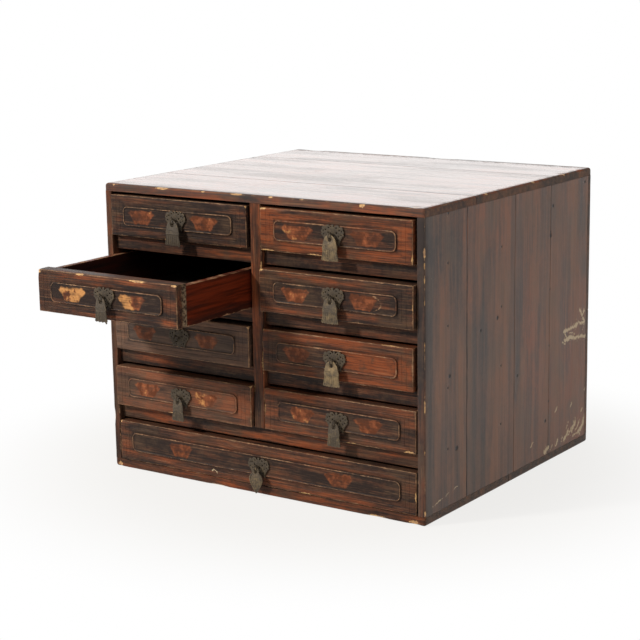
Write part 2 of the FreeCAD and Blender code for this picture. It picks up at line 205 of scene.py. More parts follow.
# Half of an ornament's outline, from the middle of its top edge
MOTIF_WIDTH = 40
MOTIF_HALF = [
    (0, 7.6), (4, 6.9), (8.5, 7.7), (12, 7.1), (15.2, 8.1), (16.8, 5.6), (20, 4.2), (16.6, 0.8),
    (13.6, -2.4), (11.8, -5.4), (9.2, -8.0), (5, -7.3), (0, -8.1),
]

# Chips on the drawer fronts, as X, Z, length and height
FRONT_CHIPS = {
    "left_drawer_1": [(-9, 318, 4, 3), (-120, 273, 6, 1.5)],
    "left_drawer_2": [(-60, 253, 14, 2.5), (-12, 252, 5, 2.2), (-199, 252, 4, 4), (-140, 253, 8, 1.5)],
    "left_drawer_3": [(-11, 187, 4, 3)],
    "left_drawer_4": [(-8, 122, 4, 2), (-120, 76, 8, 1.5)],
    "right_drawer_1": [(10, 318.5, 9, 2.2), (18, 273, 12, 2), (78, 273, 15, 2), (197, 277, 1.4, 8)],
    "right_drawer_2": [(8, 253, 6, 2), (199, 230, 1.2, 5)],
    "right_drawer_3": [(8, 187, 3, 3), (170, 188, 14, 1.5)],
    "right_drawer_4": [(192, 76, 10, 3.5), (120, 76, 10, 1.5), (7.8, 100, 2, 8)],
    "wide_drawer": [(-199, 56, 3, 3), (199, 30, 1.2, 8), (60, 10.5, 12, 1.5)],
}
PALE_SPECKS = [
    (-61.5, -188, 25, 1.3), (-60, -188, 22.6, 1.1), (-66.5, -188, 17, 1.2), (-64.5, -188, 18.2, 1.2),
    (-62.3, -188, 17.6, 1.0), (-60.6, -188, 16.2, 1.0), (-59.6, -188, 14.8, 0.8),
]

# Pits and scratches on the right side, as Y and Z
SIDE_PITS = [
    (-142, 321, 1.6), (91, 298, 1.8), (86, 265, 2.2), (171, 316, 1.5), (-74, 186, 1.5), (-37, 193, 2.0),
    (-139, 150, 1.8), (9, 119, 1.6), (-124, 69, 2.4), (78, 51, 1.8),
]
SIDE_SCRATCHES = [
    ((123, 147), (176, 151), 1.9), ((125, 137), (187, 132), 2.0), ((123, 147), (130, 138), 1.2),
    ((163, 166), (176, 151), 1.7), ((169, 158), (175, 163), 1.9), ((119, 135), (127, 132), 1.0),
    ((140, 142), (150, 141), 0.9), ((176, 150), (172, 141), 0.8), ((78, 14), (86, 18), 2.2),
    ((92, 13), (97, 17), 0.9), ((106, 15), (112, 21), 1.3), ((118, 16), (124, 21), 1.0),
    ((128, 17), (136, 24), 2.0), ((138, 20), (146, 28), 1.4), ((148, 23), (156, 32), 2.5),
    ((158, 22), (166, 31), 1.3), ((166, 17), (176, 27), 2.8), ((172, 24), (181, 35), 1.8),
    ((150, 16), (172, 19), 1.0), ((132, 30), (140, 36), 0.9), ((142, 54), (145, 58), 1.1),
    ((170, 40), (174, 44), 1.0), ((104, 55), (108, 62), 0.9), ((42, 29), (48, 32), 0.9),
    ((178, 60), (181, 74), 0.6), ((-178, 17), (-120, 27), 0.4),
]

# Half outlines of the metal pulls, to the right of their middle line
PLATE_HALF = [
    (0, 11.1), (1.2, 10.6), (1.5, 9.7), (0.9, 8.9), (2.0, 8.2), (2.9, 9.4), (4.6, 10.6), (6.6, 10.7),
    (8.2, 9.6), (8.7, 8.3), (10.2, 9.1), (12.0, 8.6), (13.1, 7.2), (12.9, 5.6), (13.9, 4.5), (14.2, 3.0),
    (13.3, 1.8), (14.3, 0.4), (12.6, -0.9), (11.4, -2.6), (9.9, -5.0), (8.6, -7.4), (8.3, -10.9),
    (6.6, -9.3), (4.8, -8.7), (3.0, -9.2), (1.6, -10.2), (0, -11.0),
]
PLATE_HOLES = [
    (4.6, 7.6, 0.75), (8.4, 5.4, 0.75), (11.2, 4.4, 0.6), (10.6, 0.6, 0.6), (6.4, -5.6, 0.75),
    (5.0, 2.6, 0.9), (3.4, -6.4, 0.5), (7.6, -1.2, 0.6),
]
FLARED_HALF = [
    (0, 5.3), (2.0, 5.0), (3.9, 4.1), (5.4, 2.8), (6.5, 1.3), (7.3, -0.3), (7.8, -2.4), (8.5, -5.0),
    (9.1, -7.7), (9.2, -9.4), (8.8, -10.6), (8.8, -12.6), (9.1, -14.8), (9.8, -18.2), (10.5, -21.3),
]
PLAIN_HALF = [
    (0, 5.3), (1.9, 5.0), (3.6, 4.1), (4.9, 2.8), (5.7, 1.3), (6.2, -0.4), (6.6, -2.8), (7.1, -5.6),
    (7.3, -7.6), (6.9, -8.8), (7.0, -11.0), (7.5, -14.8), (8.3, -20.2),
]
SPADE_HALF = [
    (0, 5.3), (1.6, 5.0), (3.0, 4.1), (4.0, 2.7), (4.4, 1.0), (4.5, -0.5), (5.0, -1.6), (6.2, -2.5),
    (7.7, -4.0), (8.7, -6.3), (9.05, -9.0), (8.3, -11.4), (7.6, -13.2), (6.5, -15.4), (5.0, -17.7),
    (3.6, -19.8), (2.1, -21.8), (0.9, -23.3), (0, -24.3),
]
PENDANTS = {"flared": FLARED_HALF, "plain": PLAIN_HALF, "spade": SPADE_HALF}
# Teeth of a pendant's foot: how many, their depth and how far the foot bows
TEETH = {"flared": (7, 0.9, 0.6), "plain": (4, 0.9, 0.4)}
# Each pendant: its outline, how clean its metal is, the side its foot curls to, if any
PULLS = {
    "left_drawer_1": ("flared", 0.1, 1), "left_drawer_2": ("plain", 0.15, 1),
    "left_drawer_3": (None, 0.1, 0), "left_drawer_4": ("plain", 0.25, 0),
    "right_drawer_1": ("flared", 0.75, 0), "right_drawer_2": ("flared", 0.5, 0),
    "right_drawer_3": ("flared", 0.9, 0), "right_drawer_4": ("plain", 0.35, 0),
    "wide_drawer": ("spade", 0.5, 0),
}
DRAWERS = list(PULLS)


# Settings that a user would change


def colour(name, description, *default):
    """Colour that a user would change."""
    return bpy.props.FloatVectorProperty(
        name=name, description=description, default=default, subtype="COLOR", size=3, min=0.0, max=1.0)


def number(name, description, default, low, high, **kind):
    """Number that a user would change."""
    return bpy.props.FloatProperty(name=name, description=description, default=default, min=low, max=high,
                                   **kind)


def length(name, description, default, low, high):
    """Length in metres that a user would change."""
    return number(name, description, default, low, high, subtype="DISTANCE", unit="LENGTH")


def angle(name, description, degrees):
    """Angle that a user would change."""
    return number(name, description, math.radians(degrees), -math.pi, math.pi, subtype="ANGLE",
                  unit="ROTATION")


class ChestColours(bpy.types.PropertyGroup):
    """Colours and wear of the chest's finishes."""

    dark: colour("Dark Lacquer", "Lacquer where it is whole", 0.021, 0.0128, 0.0105)
    brown: colour("Thin Lacquer", "Lacquer that lets the wood through", 0.082, 0.031, 0.0165)
    red: colour("Worn Red-Brown", "Wood where the lacquer has gone", 0.21, 0.053, 0.0175)
    tan: colour("Worn Edge", "Rubbed edges and beads", 0.36, 0.205, 0.112)
    ochre: colour("Fresh Chip", "Bare wood in a chip", 0.60, 0.36, 0.15)
    ornament: colour("Ornament", "Faded ornaments on the panels", 0.26, 0.078, 0.031)
    gold: colour("Ornament Gold", "What is left of the ornaments' gold", 0.50, 0.235, 0.080)
    cream: colour("Scratch", "Pale scratches and specks", 0.60, 0.465, 0.29)
    grime: colour("Grime", "Olive brown film in patches", 0.062, 0.037, 0.0225)
    # Haze and Grey Film are partly a dull film on the lacquer and partly a painted sheen, the grey of bright
    # surroundings reflected in it
    haze: colour("Haze", "Dull film where the lacquer under it is worn", 0.182, 0.103, 0.0655)
    film: colour("Grey Film", "Dull film where the lacquer under it is whole", 0.096, 0.066, 0.051)
    varnish: colour("Drawer Varnish", "Sides of the drawers", 0.118, 0.0165, 0.005)
    inner: colour("Inner Wood", "Drawer bottoms and dust boards", 0.016, 0.010, 0.008)
    brass: colour("Rubbed Brass", "Metal where it is rubbed", 0.25, 0.172, 0.082)
    patina: colour("Patina", "Brown crust on the metal", 0.068, 0.047, 0.026)
    iron: colour("Iron", "Nail heads", 0.040, 0.030, 0.026)
    edge_wear: number("Edge Wear", "How much of each edge is rubbed", 0.4, 0.0, 1.0, subtype="FACTOR")


class ChestShapes(bpy.types.PropertyGroup):
    """Small forms that the chest's pieces get in addition to their sizes."""

    dent_depth: length("Edge Dents", "Depth of the dents along edges", 0.0007, 0.0, 0.002)
    dent_length: length("Dent Length", "Usual length of a dent", 0.011, 0.002, 0.1)
    wave_depth: length("Board Waves", "Unevenness of planed boards", 0.00018, 0.0, 0.001)
    wave_length: length("Wave Length", "Width of a wave", 0.045, 0.005, 0.5)
    seam_depth: length("Seam Depth", "Depth where planks meet", 0.0007, 0.0, 0.003)
    metal: length("Metal Thickness", "Thickness of plates and pendants", 0.0012, 0.0005, 0.003)
    wire: length("Wire Radius", "Radius of the split pins' wire", 0.0008, 0.0003, 0.002)


class ChestStage(bpy.types.PropertyGroup):
    """Camera, floor and light."""

    lens: number("Lens", "Focal length in millimetres", 97.6, 10.0, 300.0)
    place: bpy.props.FloatVectorProperty(
        name="Camera Place", description="Where the camera stands", default=(1.0903, -1.6494, 0.5841),
        subtype="TRANSLATION", unit="LENGTH")
    azimuth: angle("Azimuth", "Turn of the camera about the upright axis", 34.606)
    elevation: angle("Elevation", "How far the camera looks down", 12.064)
    roll: angle("Roll", "Turn of the camera about its line of sight", -0.870)
    floor: colour("Floor", "Colour of the floor", 0.83, 0.825, 0.815)
    backdrop: colour("Backdrop", "Colour of the background", 1.0, 1.0, 1.0)
    fill: number("Fill", "Strength of the light from all around", 0.25, 0.0, 2.0)
    key: number("Key Light", "Power of the light from the front left, in watts", 98.0, 0.0, 1000.0)
    side: number("Side Light", "Power of the wide light on the right, in watts", 19.0, 0.0, 1000.0)
    back: number("Back Light", "Power of the low wide light behind the chest, in watts", 4.25, 0.0, 1000.0)


# Node trees


class Nodes:
    """Adds nodes to a tree and links the sockets that are given as inputs."""

    def __init__(self, tree):
        self.tree = tree

    def add(self, kind, *inputs, named=None, **settings):
        """One node, its first inputs in order and further ones by name."""
        node = self.tree.nodes.new(kind)
        for key, value in settings.items():
            setattr(node, key, value)
        for key, value in [*enumerate(inputs), *(named or {}).items()]:
            socket = node.inputs[key]
            if isinstance(value, bpy.types.NodeSocket):
                self.tree.links.new(value, socket)
            elif value is not None:
                wants_alpha = socket.type == "RGBA" and len(value) == 3
                socket.default_value = (*value, 1.0) if wants_alpha else value
        return node

    def get(self, kind, *inputs, **settings):
        """First output of a new node."""
        return self.add(kind, *inputs, **settings).outputs[0]

    def link(self, output, socket):
        """Link from one node's output to another's input."""
        self.tree.links.new(output, socket)

    def math(self, operation, *values, clamp=False):
        """Result of an operation on numbers."""
        return self.get("ShaderNodeMath", *values, operation=operation, use_clamp=clamp)

    def weighed(self, start, *terms):
        """Sum of a start value and of values times their weights."""
        for value, weight in terms:
            start = self.math("MULTIPLY_ADD", value, weight, start)
        return start

    def vector(self, operation, *values):
        """Result of an operation on vectors."""
        return self.get("ShaderNodeVectorMath", *values, operation=operation)

    def scale(self, vector, share):
        """Vector made longer or shorter."""
        return self.get("ShaderNodeVectorMath", vector, operation="SCALE", named={"Scale": share})

    def measure(self, operation, one, other):
        """Number that two vectors give, such as their distance."""
        return self.add("ShaderNodeVectorMath", one, other, operation=operation).outputs["Value"]

    def smooth(self, value, low, high, to_low=0.0, to_high=1.0):
        """Smooth rise from one level to another."""
        inputs = (value, low, high, to_low, to_high)
        return self.get("ShaderNodeMapRange", *inputs, interpolation_type="SMOOTHSTEP")

    def noise(self, place, scale, detail=2.0, roughness=0.5, **settings):
        """Value of a noise pattern, around one half."""
        named = {"Vector": place, "Scale": scale, "Detail": detail, "Roughness": roughness}
        return self.get("ShaderNodeTexNoise", named=named, **settings)

    def mix(self, factor, first, second):
        """Second colour over the first."""
        node = self.add("ShaderNodeMix", data_type="RGBA")
        for key, value in ((0, factor), (6, first), (7, second)):
            if isinstance(value, bpy.types.NodeSocket):
                self.tree.links.new(value, node.inputs[key])
            else:
                node.inputs[key].default_value = value if key == 0 else (*value, 1.0)
        return node.outputs[2]

    def mark(self, name, output="Fac"):
        """Value that the piece's own mesh carries."""
        return self.add("ShaderNodeAttribute", attribute_name=name).outputs[output]

    def stored(self, name, kind="FLOAT"):
        """The same in a Geometry Nodes tree."""
        return self.get("GeometryNodeInputNamedAttribute", name, data_type=kind)

    def group(self, tree, **named):
        """Outputs of a node group with the given inputs."""
        return self.add("ShaderNodeGroup", node_tree=tree, named=named).outputs

    def join(self, *parts):
        """Geometries as one."""
        node = self.add("GeometryNodeJoinGeometry")
        for part in parts:
            self.link(part, node.inputs[0])
        return node.outputs[0]


def node_group(name, kind, inputs, outputs):
    """New node group: its nodes, and the sockets of its input and output node.

    An input is given by its default number, or by its kind where it has none."""
    tree = bpy.data.node_groups.new(name, kind)
    for label, given in inputs.items():
        socket = given if isinstance(given, str) else type(given).__name__.title()
        item = tree.interface.new_socket(label, in_out="INPUT", socket_type="NodeSocket" + socket)
        if given is not socket:
            item.default_value = given
    for label, socket in outputs.items():
        tree.interface.new_socket(label, in_out="OUTPUT", socket_type="NodeSocket" + socket)
    nodes = Nodes(tree)
    return nodes, tree.nodes.new("NodeGroupInput").outputs, tree.nodes.new("NodeGroupOutput").inputs


@functools.cache
def wood_streaks():
    """Streaks along the grain at three widths, from the board's own grain place."""
    inputs = {"Place": "Vector", "Width": 0.004, "Length": 0.07}
    nodes, given, result = node_group("Wood Streaks", "ShaderNodeTree", inputs,
                                      dict.fromkeys(("Fine", "Streak", "Cloud"), "Float"))
    along = nodes.math("DIVIDE", 1.0, given["Length"])
    across = nodes.math("DIVIDE", 1.0, given["Width"])
    stretch = nodes.get("ShaderNodeCombineXYZ", along, across, across)
    place = nodes.vector("MULTIPLY", given["Place"], stretch)
    drift = nodes.noise(nodes.vector("MULTIPLY", given["Place"], (9.0, 22.0, 22.0)), 1.0, 1.0)
    place = nodes.vector("ADD", place, nodes.math("MULTIPLY", drift, 1.6))
    nodes.link(nodes.noise(nodes.vector("MULTIPLY", place, (2.2, 5.0, 5.0)), 1.0, 3.0, 0.65), result["Fine"])
    nodes.link(nodes.noise(place, 1.0, 2.5, 0.6), result["Streak"])
    nodes.link(nodes.noise(nodes.vector("MULTIPLY", place, (0.7, 0.22, 0.22)), 1.0, 2.0), result["Cloud"])
    return nodes.tree


@functools.cache
def edge_rub():
    """Where an edge is rubbed, broken up by noise, from how near the edge is."""
    inputs = {"Place": "Vector", "Nearness": 0.0, "Amount": 0.5}
    nodes, given, result = node_group("Edge Rub", "ShaderNodeTree", inputs, {"Mask": "Float"})
    coarse = nodes.noise(given["Place"], 70.0, 3.0, 0.6)
    fine = nodes.noise(given["Place"], 520.0, 2.0, 0.6)
    broken = nodes.math("ADD", nodes.math("MULTIPLY", coarse, 1.5), nodes.math("MULTIPLY", fine, 0.7))
    level = nodes.math("ADD", nodes.math("SUBTRACT", given["Nearness"], broken),
                       nodes.math("MULTIPLY", given["Amount"], 1.4))
    nodes.link(nodes.smooth(level, 0.0, 0.28), result["Mask"])
    return nodes.tree


@functools.cache
def spot_group():
    """Ragged round spot about a place."""
    inputs = {"Place": "Vector", "Centre": "Vector", "Radius": 0.002}
    nodes, given, result = node_group("Spot", "ShaderNodeTree", inputs, {"Mask": "Float"})
    ragged = nodes.math("MULTIPLY_ADD", nodes.noise(given["Place"], 900.0, 2.0), 1.2, 0.3)
    share = nodes.math("DIVIDE", nodes.measure("DISTANCE", given["Place"], given["Centre"]), given["Radius"])
    nodes.link(nodes.smooth(nodes.math("MULTIPLY", share, ragged), 1.0, 0.5), result["Mask"])
    return nodes.tree


@functools.cache
def scratch_group():
    """Ragged scratch between two places."""
    inputs = {"Place": "Vector", "Start": "Vector", "End": "Vector", "Width": 0.001}
    nodes, given, result = node_group("Scratch", "ShaderNodeTree", inputs, {"Mask": "Float"})
    wander = nodes.add("ShaderNodeTexNoise",
                       named={"Vector": given["Place"], "Scale": 110.0}).outputs["Color"]
    wander = nodes.scale(nodes.vector("SUBTRACT", wander, (0.5, 0.5, 0.5)), 0.008)
    place = nodes.vector("ADD", given["Place"], wander)
    line = nodes.vector("SUBTRACT", given["End"], given["Start"])
    reach = nodes.vector("SUBTRACT", place, given["Start"])
    dot, square = (nodes.measure("DOT_PRODUCT", other, line) for other in (reach, line))
    nearest = nodes.scale(line, nodes.math("DIVIDE", dot, square, clamp=True))
    away = nodes.math("DIVIDE", nodes.measure("DISTANCE", reach, nearest), given["Width"])
    ragged = nodes.math("MULTIPLY_ADD", nodes.noise(given["Place"], 420.0, 3.0, 0.7), 3.0, -0.7)
    nodes.link(nodes.smooth(nodes.math("MULTIPLY", away, ragged), 1.0, 0.55), result["Mask"])
    return nodes.tree


def material_nodes(name):
    """New material, its nodes, its shader and the place on the object."""
    material = bpy.data.materials.new(name)
    material.use_nodes = True
    nodes = Nodes(material.node_tree)
    place = nodes.add("ShaderNodeTexCoord").outputs["Object"]
    return material, nodes, material.node_tree.nodes["Principled BSDF"], place


def bump(nodes, shader, height, distance):
    """Small relief from a height pattern."""
    result = nodes.get("ShaderNodeBump", named={"Height": height, "Distance": distance, "Strength": 1.0})
    nodes.link(result, shader.inputs["Normal"])


def streaks(nodes, width, length):
    """Streaks along a board's grain at three widths, around zero."""
    found = nodes.group(wood_streaks(), Place=nodes.mark("grain", "Vector"), Width=width, Length=length)
    return [nodes.math("SUBTRACT", found[label], 0.5) for label in ("Fine", "Streak", "Cloud")]


def faded_ornament(nodes, colours, border, soft, patches):
    """Where a panel's ornament lies, and its colour with what is left of its gold."""
    inside = nodes.smooth(nodes.weighed(nodes.mark("motif"), (border, 0.25), (soft, 1.5)), -0.32, 0.36)
    gold = nodes.mark("gold")
    bright = nodes.math("ADD", patches, nodes.smooth(gold, 0.0, 0.4, -0.09, 0.0))
    painted = nodes.mix(nodes.smooth(bright, 0.36, 0.62), scaled(colours.ornament, 0.40), colours.ornament)
    leaf = nodes.weighed(gold, (nodes.math("SUBTRACT", patches, 0.5), 2.2), (border, 1.2))
    return inside, nodes.mix(nodes.smooth(leaf, 0.50, 0.85), painted, colours.gold)


def scratches_and_pits(nodes, place):
    """Where the right side has its pale scratches and its dark pits."""

    def at(y, z):
        return CAD_BOX[1][0], y * MM, z * MM

    scratches = joined(nodes, [
        nodes.group(scratch_group(), Place=place, Start=at(*start), End=at(*end), Width=width * MM)[0]
        for start, end, width in SIDE_SCRATCHES])
    pits = joined(nodes, [
        nodes.group(spot_group(), Place=place, Centre=at(y, z), Radius=radius * 1.3 * MM)[0]
        for y, z, radius in SIDE_PITS])
    return scratches, pits


@functools.cache
def lacquered_wood(name, width=0.0017, length=0.055, calm=1.0, side_marks=False, polished=False):
    """Dark lacquer worn down to red-brown wood, with rubbed edges, chips, ornaments and specks, a dull film
    with painted sheen, and painted shade in its hollows.
    """
    colours = palette()
    material, nodes, shader, place = material_nodes(name)
    grain = nodes.mark("grain", "Vector")
    fine, middle, cloud = streaks(nodes, width, length)
    ragged = nodes.math("SUBTRACT", nodes.noise(place, 170.0, 4.0, 0.65), 0.5)
    soiled = nodes.noise(place, 24.0, 3.0, 0.6)
    blotch = nodes.math("SUBTRACT",
                        nodes.noise(nodes.vector("MULTIPLY", grain, (30.0, 85.0, 85.0)), 1.0, 3.0, 0.6), 0.5)
    field = nodes.math("MULTIPLY", nodes.mark("field"), -0.2)
    level = nodes.weighed(nodes.math("ADD", nodes.mark("tint"), field),
                          (cloud, 1.3), (middle, 0.62), (ragged, 0.5), (fine, 0.3), (blotch, 0.55))
    colour = nodes.mix(nodes.smooth(level, 0.12, 0.52), colours.dark, colours.brown)
    colour = nodes.mix(nodes.smooth(level, 0.42, 0.86), colour, colours.red)
    soiled = nodes.smooth(nodes.weighed(soiled, (ragged, 0.5)), 0.44, 0.70, 0.0, 0.75)
    colour = nodes.mix(soiled, colour, colours.grime)
    grained = nodes.weighed(0.0, (fine, 0.8), (middle, 0.5))
    colour = nodes.mix(nodes.smooth(grained, 0.02 * calm, -0.12 * calm, 0.0, 0.62), colour, colours.dark)
    colour = nodes.mix(nodes.smooth(grained, 0.05 * calm, 0.18 * calm, 0.0, 0.22), colour, colours.tan)
    # Film and painted sheen: a lighter grey-brown laid over the lacquer where the film mark asks for it
    film_and_sheen_share = nodes.smooth(nodes.weighed(0.0, (cloud, 1.0), (middle, 0.5), (fine, 0.3)), -0.24, 0.2, 0.26, 0.75)
    haze = nodes.mix(nodes.smooth(level, 0.0, 0.95), colours.film, colours.haze)
    colour = nodes.mix(nodes.math("MULTIPLY", film_and_sheen_share, nodes.mark("film")), colour, haze)
    pores = nodes.math("MULTIPLY", nodes.smooth(fine, -0.10, -0.2), 0.4 / calm)
    colour = nodes.mix(pores, colour, scaled(colours.dark, 0.4))
    border = nodes.math("SUBTRACT", nodes.noise(place, 330.0, 4.0, 0.7), 0.5)
    soft = nodes.math("SUBTRACT", nodes.noise(place, 110.0, 2.0, 0.5), 0.5)
    patches = nodes.noise(place, 130.0, 4.0, 0.6)
    inside, painted = faded_ornament(nodes, colours, border, soft, patches)
    worn = nodes.weighed(0.0, (fine, 0.7), (middle, 0.6), (cloud, 0.6), (soft, 0.8))
    kept = nodes.smooth(worn, -0.24, 0.12, 0.35, 1.0)
    colour = nodes.mix(nodes.math("MULTIPLY", inside, kept), colour, painted)
    # Grime and painted shade: places marked hollow (seams, pits, the crack, incised lines and the foot of
    # each raised panel) turn nearly black
    grime_and_painted_shade = nodes.math("MULTIPLY", nodes.mark("hollow"), nodes.smooth(patches, 0.3, 0.6, 0.35, 0.85))
    colour = nodes.mix(grime_and_painted_shade, colour, (0.008, 0.006, 0.005))
    rubbed = nodes.group(edge_rub(), Place=place, Nearness=nodes.mark("edge"), Amount=colours.edge_wear)[0]
    rub_colour = nodes.mix(nodes.smooth(border, -0.08, 0.12), scaled(colours.tan, 0.5), colours.tan)
    colour = nodes.mix(nodes.math("MULTIPLY", rubbed, 0.85), colour, rub_colour)
    chip = nodes.smooth(nodes.weighed(nodes.mark("chip"), (border, 1.0)), 0.40, 0.54)
    colour = nodes.mix(chip, colour, nodes.mix(nodes.smooth(border, -0.09, 0.06), colours.tan, colours.ochre))
    scruff = nodes.noise(place, 300.0, 4.0, 0.75)
    end_grain = nodes.mix(nodes.smooth(scruff, 0.42, 0.62), (0.020, 0.013, 0.010), (0.24, 0.165, 0.10))
    colour = nodes.mix(nodes.mark("raw"), colour, end_grain)
    if side_marks:
        pale, pits = scratches_and_pits(nodes, place)
        colour = nodes.mix(pits, colour, (0.012, 0.009, 0.008))
    else:
        pale = joined(nodes, [
            nodes.group(spot_group(), Place=place, Centre=(x * MM, y * MM, z * MM), Radius=radius * MM)[0]
            for x, y, z, radius in PALE_SPECKS])
    colour = nodes.mix(nodes.math("MULTIPLY", pale, 0.85), colour, colours.cream)
    dust = nodes.smooth(nodes.noise(place, 1300.0, 2.0), 0.70, 0.8, 0.0, 0.25)
    colour = nodes.mix(dust, colour, (0.30, 0.25, 0.20))
    nodes.link(colour, shader.inputs["Base Color"])
    rough = nodes.weighed(0.30 if polished else 0.44, (fine, 0.4), (cloud, 0.25), (rubbed, 0.18))
    if polished:
        rough = nodes.math("ADD", rough, nodes.smooth(nodes.mark("polish"), 0.0, 0.3, 0.5, 0.0))
    nodes.link(rough, shader.inputs["Roughness"])
    shader.inputs["Specular IOR Level"].default_value = 0.36 if polished else 0.3 if side_marks else 0.10
    if polished:
        film_left = nodes.weighed(0.0, (middle, 0.15), (cloud, 1.0), (ragged, 0.2))
        film_left = nodes.smooth(film_left, -0.22, 0.08, 0.54, 1.0)
        gloss = nodes.smooth(nodes.weighed(nodes.mark("polish"), (ragged, 1.6), (border, 0.8)), 0.25, 0.75)
        nodes.link(nodes.math("MULTIPLY", gloss, film_left), shader.inputs["Coat Weight"])
        shader.inputs["Coat Roughness"].default_value = 0.16
    relief = nodes.weighed(0.0, (fine, 0.6), (middle, 0.4), (border, 0.3), (chip, -0.8))
    if side_marks:
        relief = nodes.weighed(relief, (pits, -2.0))
    bump(nodes, shader, relief, 0.00032)
    return material


def palette():
    """The chest's colours as plain values."""
    colours = bpy.context.scene.chest_colours
    return types.SimpleNamespace(edge_wear=colours.edge_wear, **{
        name: tuple(getattr(colours, name)) for name in ChestColours.__annotations__ if name != "edge_wear"})


def scaled(colour, share):
    """A colour made darker or lighter."""
    return tuple(value * share for value in colour)


def joined(nodes, masks):
    """The strongest of several masks."""
    result = masks[0]
    for mask in masks[1:]:
        result = nodes.math("MAXIMUM", result, mask)
    return result


@functools.cache
def plain_wood(name, colour, deep, roughness, wear):
    """Stained wood with grain, used inside the case and for the drawers' boards."""
    colours = palette()
    material, nodes, shader, place = material_nodes(name)
    fine, middle, cloud = streaks(nodes, 0.0026, 0.07)
    level = nodes.weighed(0.0, (middle, 1.0), (fine, 0.8), (cloud, 0.5))
    wood_colour = nodes.mix(nodes.smooth(level, -0.2, 0.2), scaled(colour, deep), colour)
    wood_colour = nodes.mix(nodes.smooth(cloud, 0.1, -0.16, 0.0, 0.6), wood_colour, scaled(colours.dark, 0.6))
    # Faces turned into a drawer are made much darker
    wood_colour = nodes.mix(nodes.math("MULTIPLY", nodes.mark("inside"), 0.78), wood_colour, scaled(colours.dark, 0.35))
    rubbed = nodes.group(edge_rub(), Place=place, Nearness=nodes.mark("edge"), Amount=wear)[0]
    wood_colour = nodes.mix(nodes.math("MULTIPLY", rubbed, 0.8), wood_colour, colours.tan)
    nodes.link(wood_colour, shader.inputs["Base Color"])
    nodes.link(nodes.weighed(roughness, (fine, 0.3), (rubbed, 0.2)), shader.inputs["Roughness"])
    shader.inputs["Specular IOR Level"].default_value = 0.1
    bump(nodes, shader, level, 0.00022)
    return material


@functools.cache
def aged_metal(name, metal, crust, clean, roughness):
    """Metal under a brown crust, rubbed bright in places."""
    material, nodes, shader, place = material_nodes(name)
    coarse = nodes.noise(place, 190.0, 3.0, 0.6)
    fine = nodes.noise(place, 950.0, 3.0, 0.7)
    level = nodes.math("ADD", nodes.math("MULTIPLY_ADD", coarse, 0.9, nodes.math("MULTIPLY", fine, 0.5)),
                       clean - 0.5)
    bare = nodes.smooth(nodes.math("ADD", level, nodes.mark("edge")), 0.26, 0.86)
    crusty = nodes.mix(nodes.smooth(fine, 0.4, 0.62), scaled(crust, 0.5), tuple(crust))
    nodes.link(nodes.mix(bare, crusty, tuple(metal)), shader.inputs["Base Color"])
    nodes.link(nodes.math("MULTIPLY_ADD", bare, 0.35, 0.15), shader.inputs["Metallic"])
    rough = nodes.math("MULTIPLY_ADD", fine, 0.25, roughness)
    nodes.link(nodes.math("SUBTRACT", rough, nodes.math("MULTIPLY", bare, 0.2)), shader.inputs["Roughness"])
    bump(nodes, shader, nodes.math("MULTIPLY_ADD", coarse, 0.7, nodes.math("MULTIPLY", fine, 0.35)), 0.00035)
    return material


@functools.cache
def worn_boards():
    """Tree that dents a board's edges and gives its faces slight waves, always inwards."""
    inputs = {
        "Geometry": "Geometry", "Dent Depth": 0.0006, "Dent Length": 0.01,
        "Wave Depth": 0.0002, "Wave Length": 0.05, "Seed": 0.0,
        "Material": "Material",
    }
    nodes, given, result = node_group("Worn Boards", "GeometryNodeTree", inputs, {"Geometry": "Geometry"})
    place = nodes.get("GeometryNodeInputPosition")

    def pattern(length, detail):
        named = {"Vector": place, "W": given["Seed"], "Scale": nodes.math("DIVIDE", 1.0, length),
                 "Detail": detail}
        return nodes.get("ShaderNodeTexNoise", named=named, noise_dimensions="4D")

    edge = nodes.stored("edge")
    dents = nodes.math("MULTIPLY", nodes.smooth(pattern(given["Dent Length"], 3.0), 0.46, 0.74),
                       given["Dent Depth"])
    waves = nodes.math("MULTIPLY", nodes.smooth(pattern(given["Wave Length"], 1.0), 0.2, 0.8),
                       given["Wave Depth"])
    depth = nodes.math("ADD", nodes.math("MULTIPLY", dents, nodes.smooth(edge, 0.2, 1.0)), waves)
    normal = nodes.get("GeometryNodeInputNormal")
    offset = nodes.scale(normal, nodes.math("MULTIPLY", depth, -1.0))
    moved = nodes.get("GeometryNodeSetPosition", given["Geometry"], named={"Offset": offset})
    finish(nodes, moved, given["Material"], result)
    return nodes.tree


def finish(nodes, geometry, material, result):
    """Ends a Geometry Nodes tree: real meshes with their material."""
    real = nodes.get("GeometryNodeRealizeInstances", geometry)
    done = nodes.get("GeometryNodeSetMaterial", real, named={"Material": material})
    nodes.link(done, result["Geometry"])


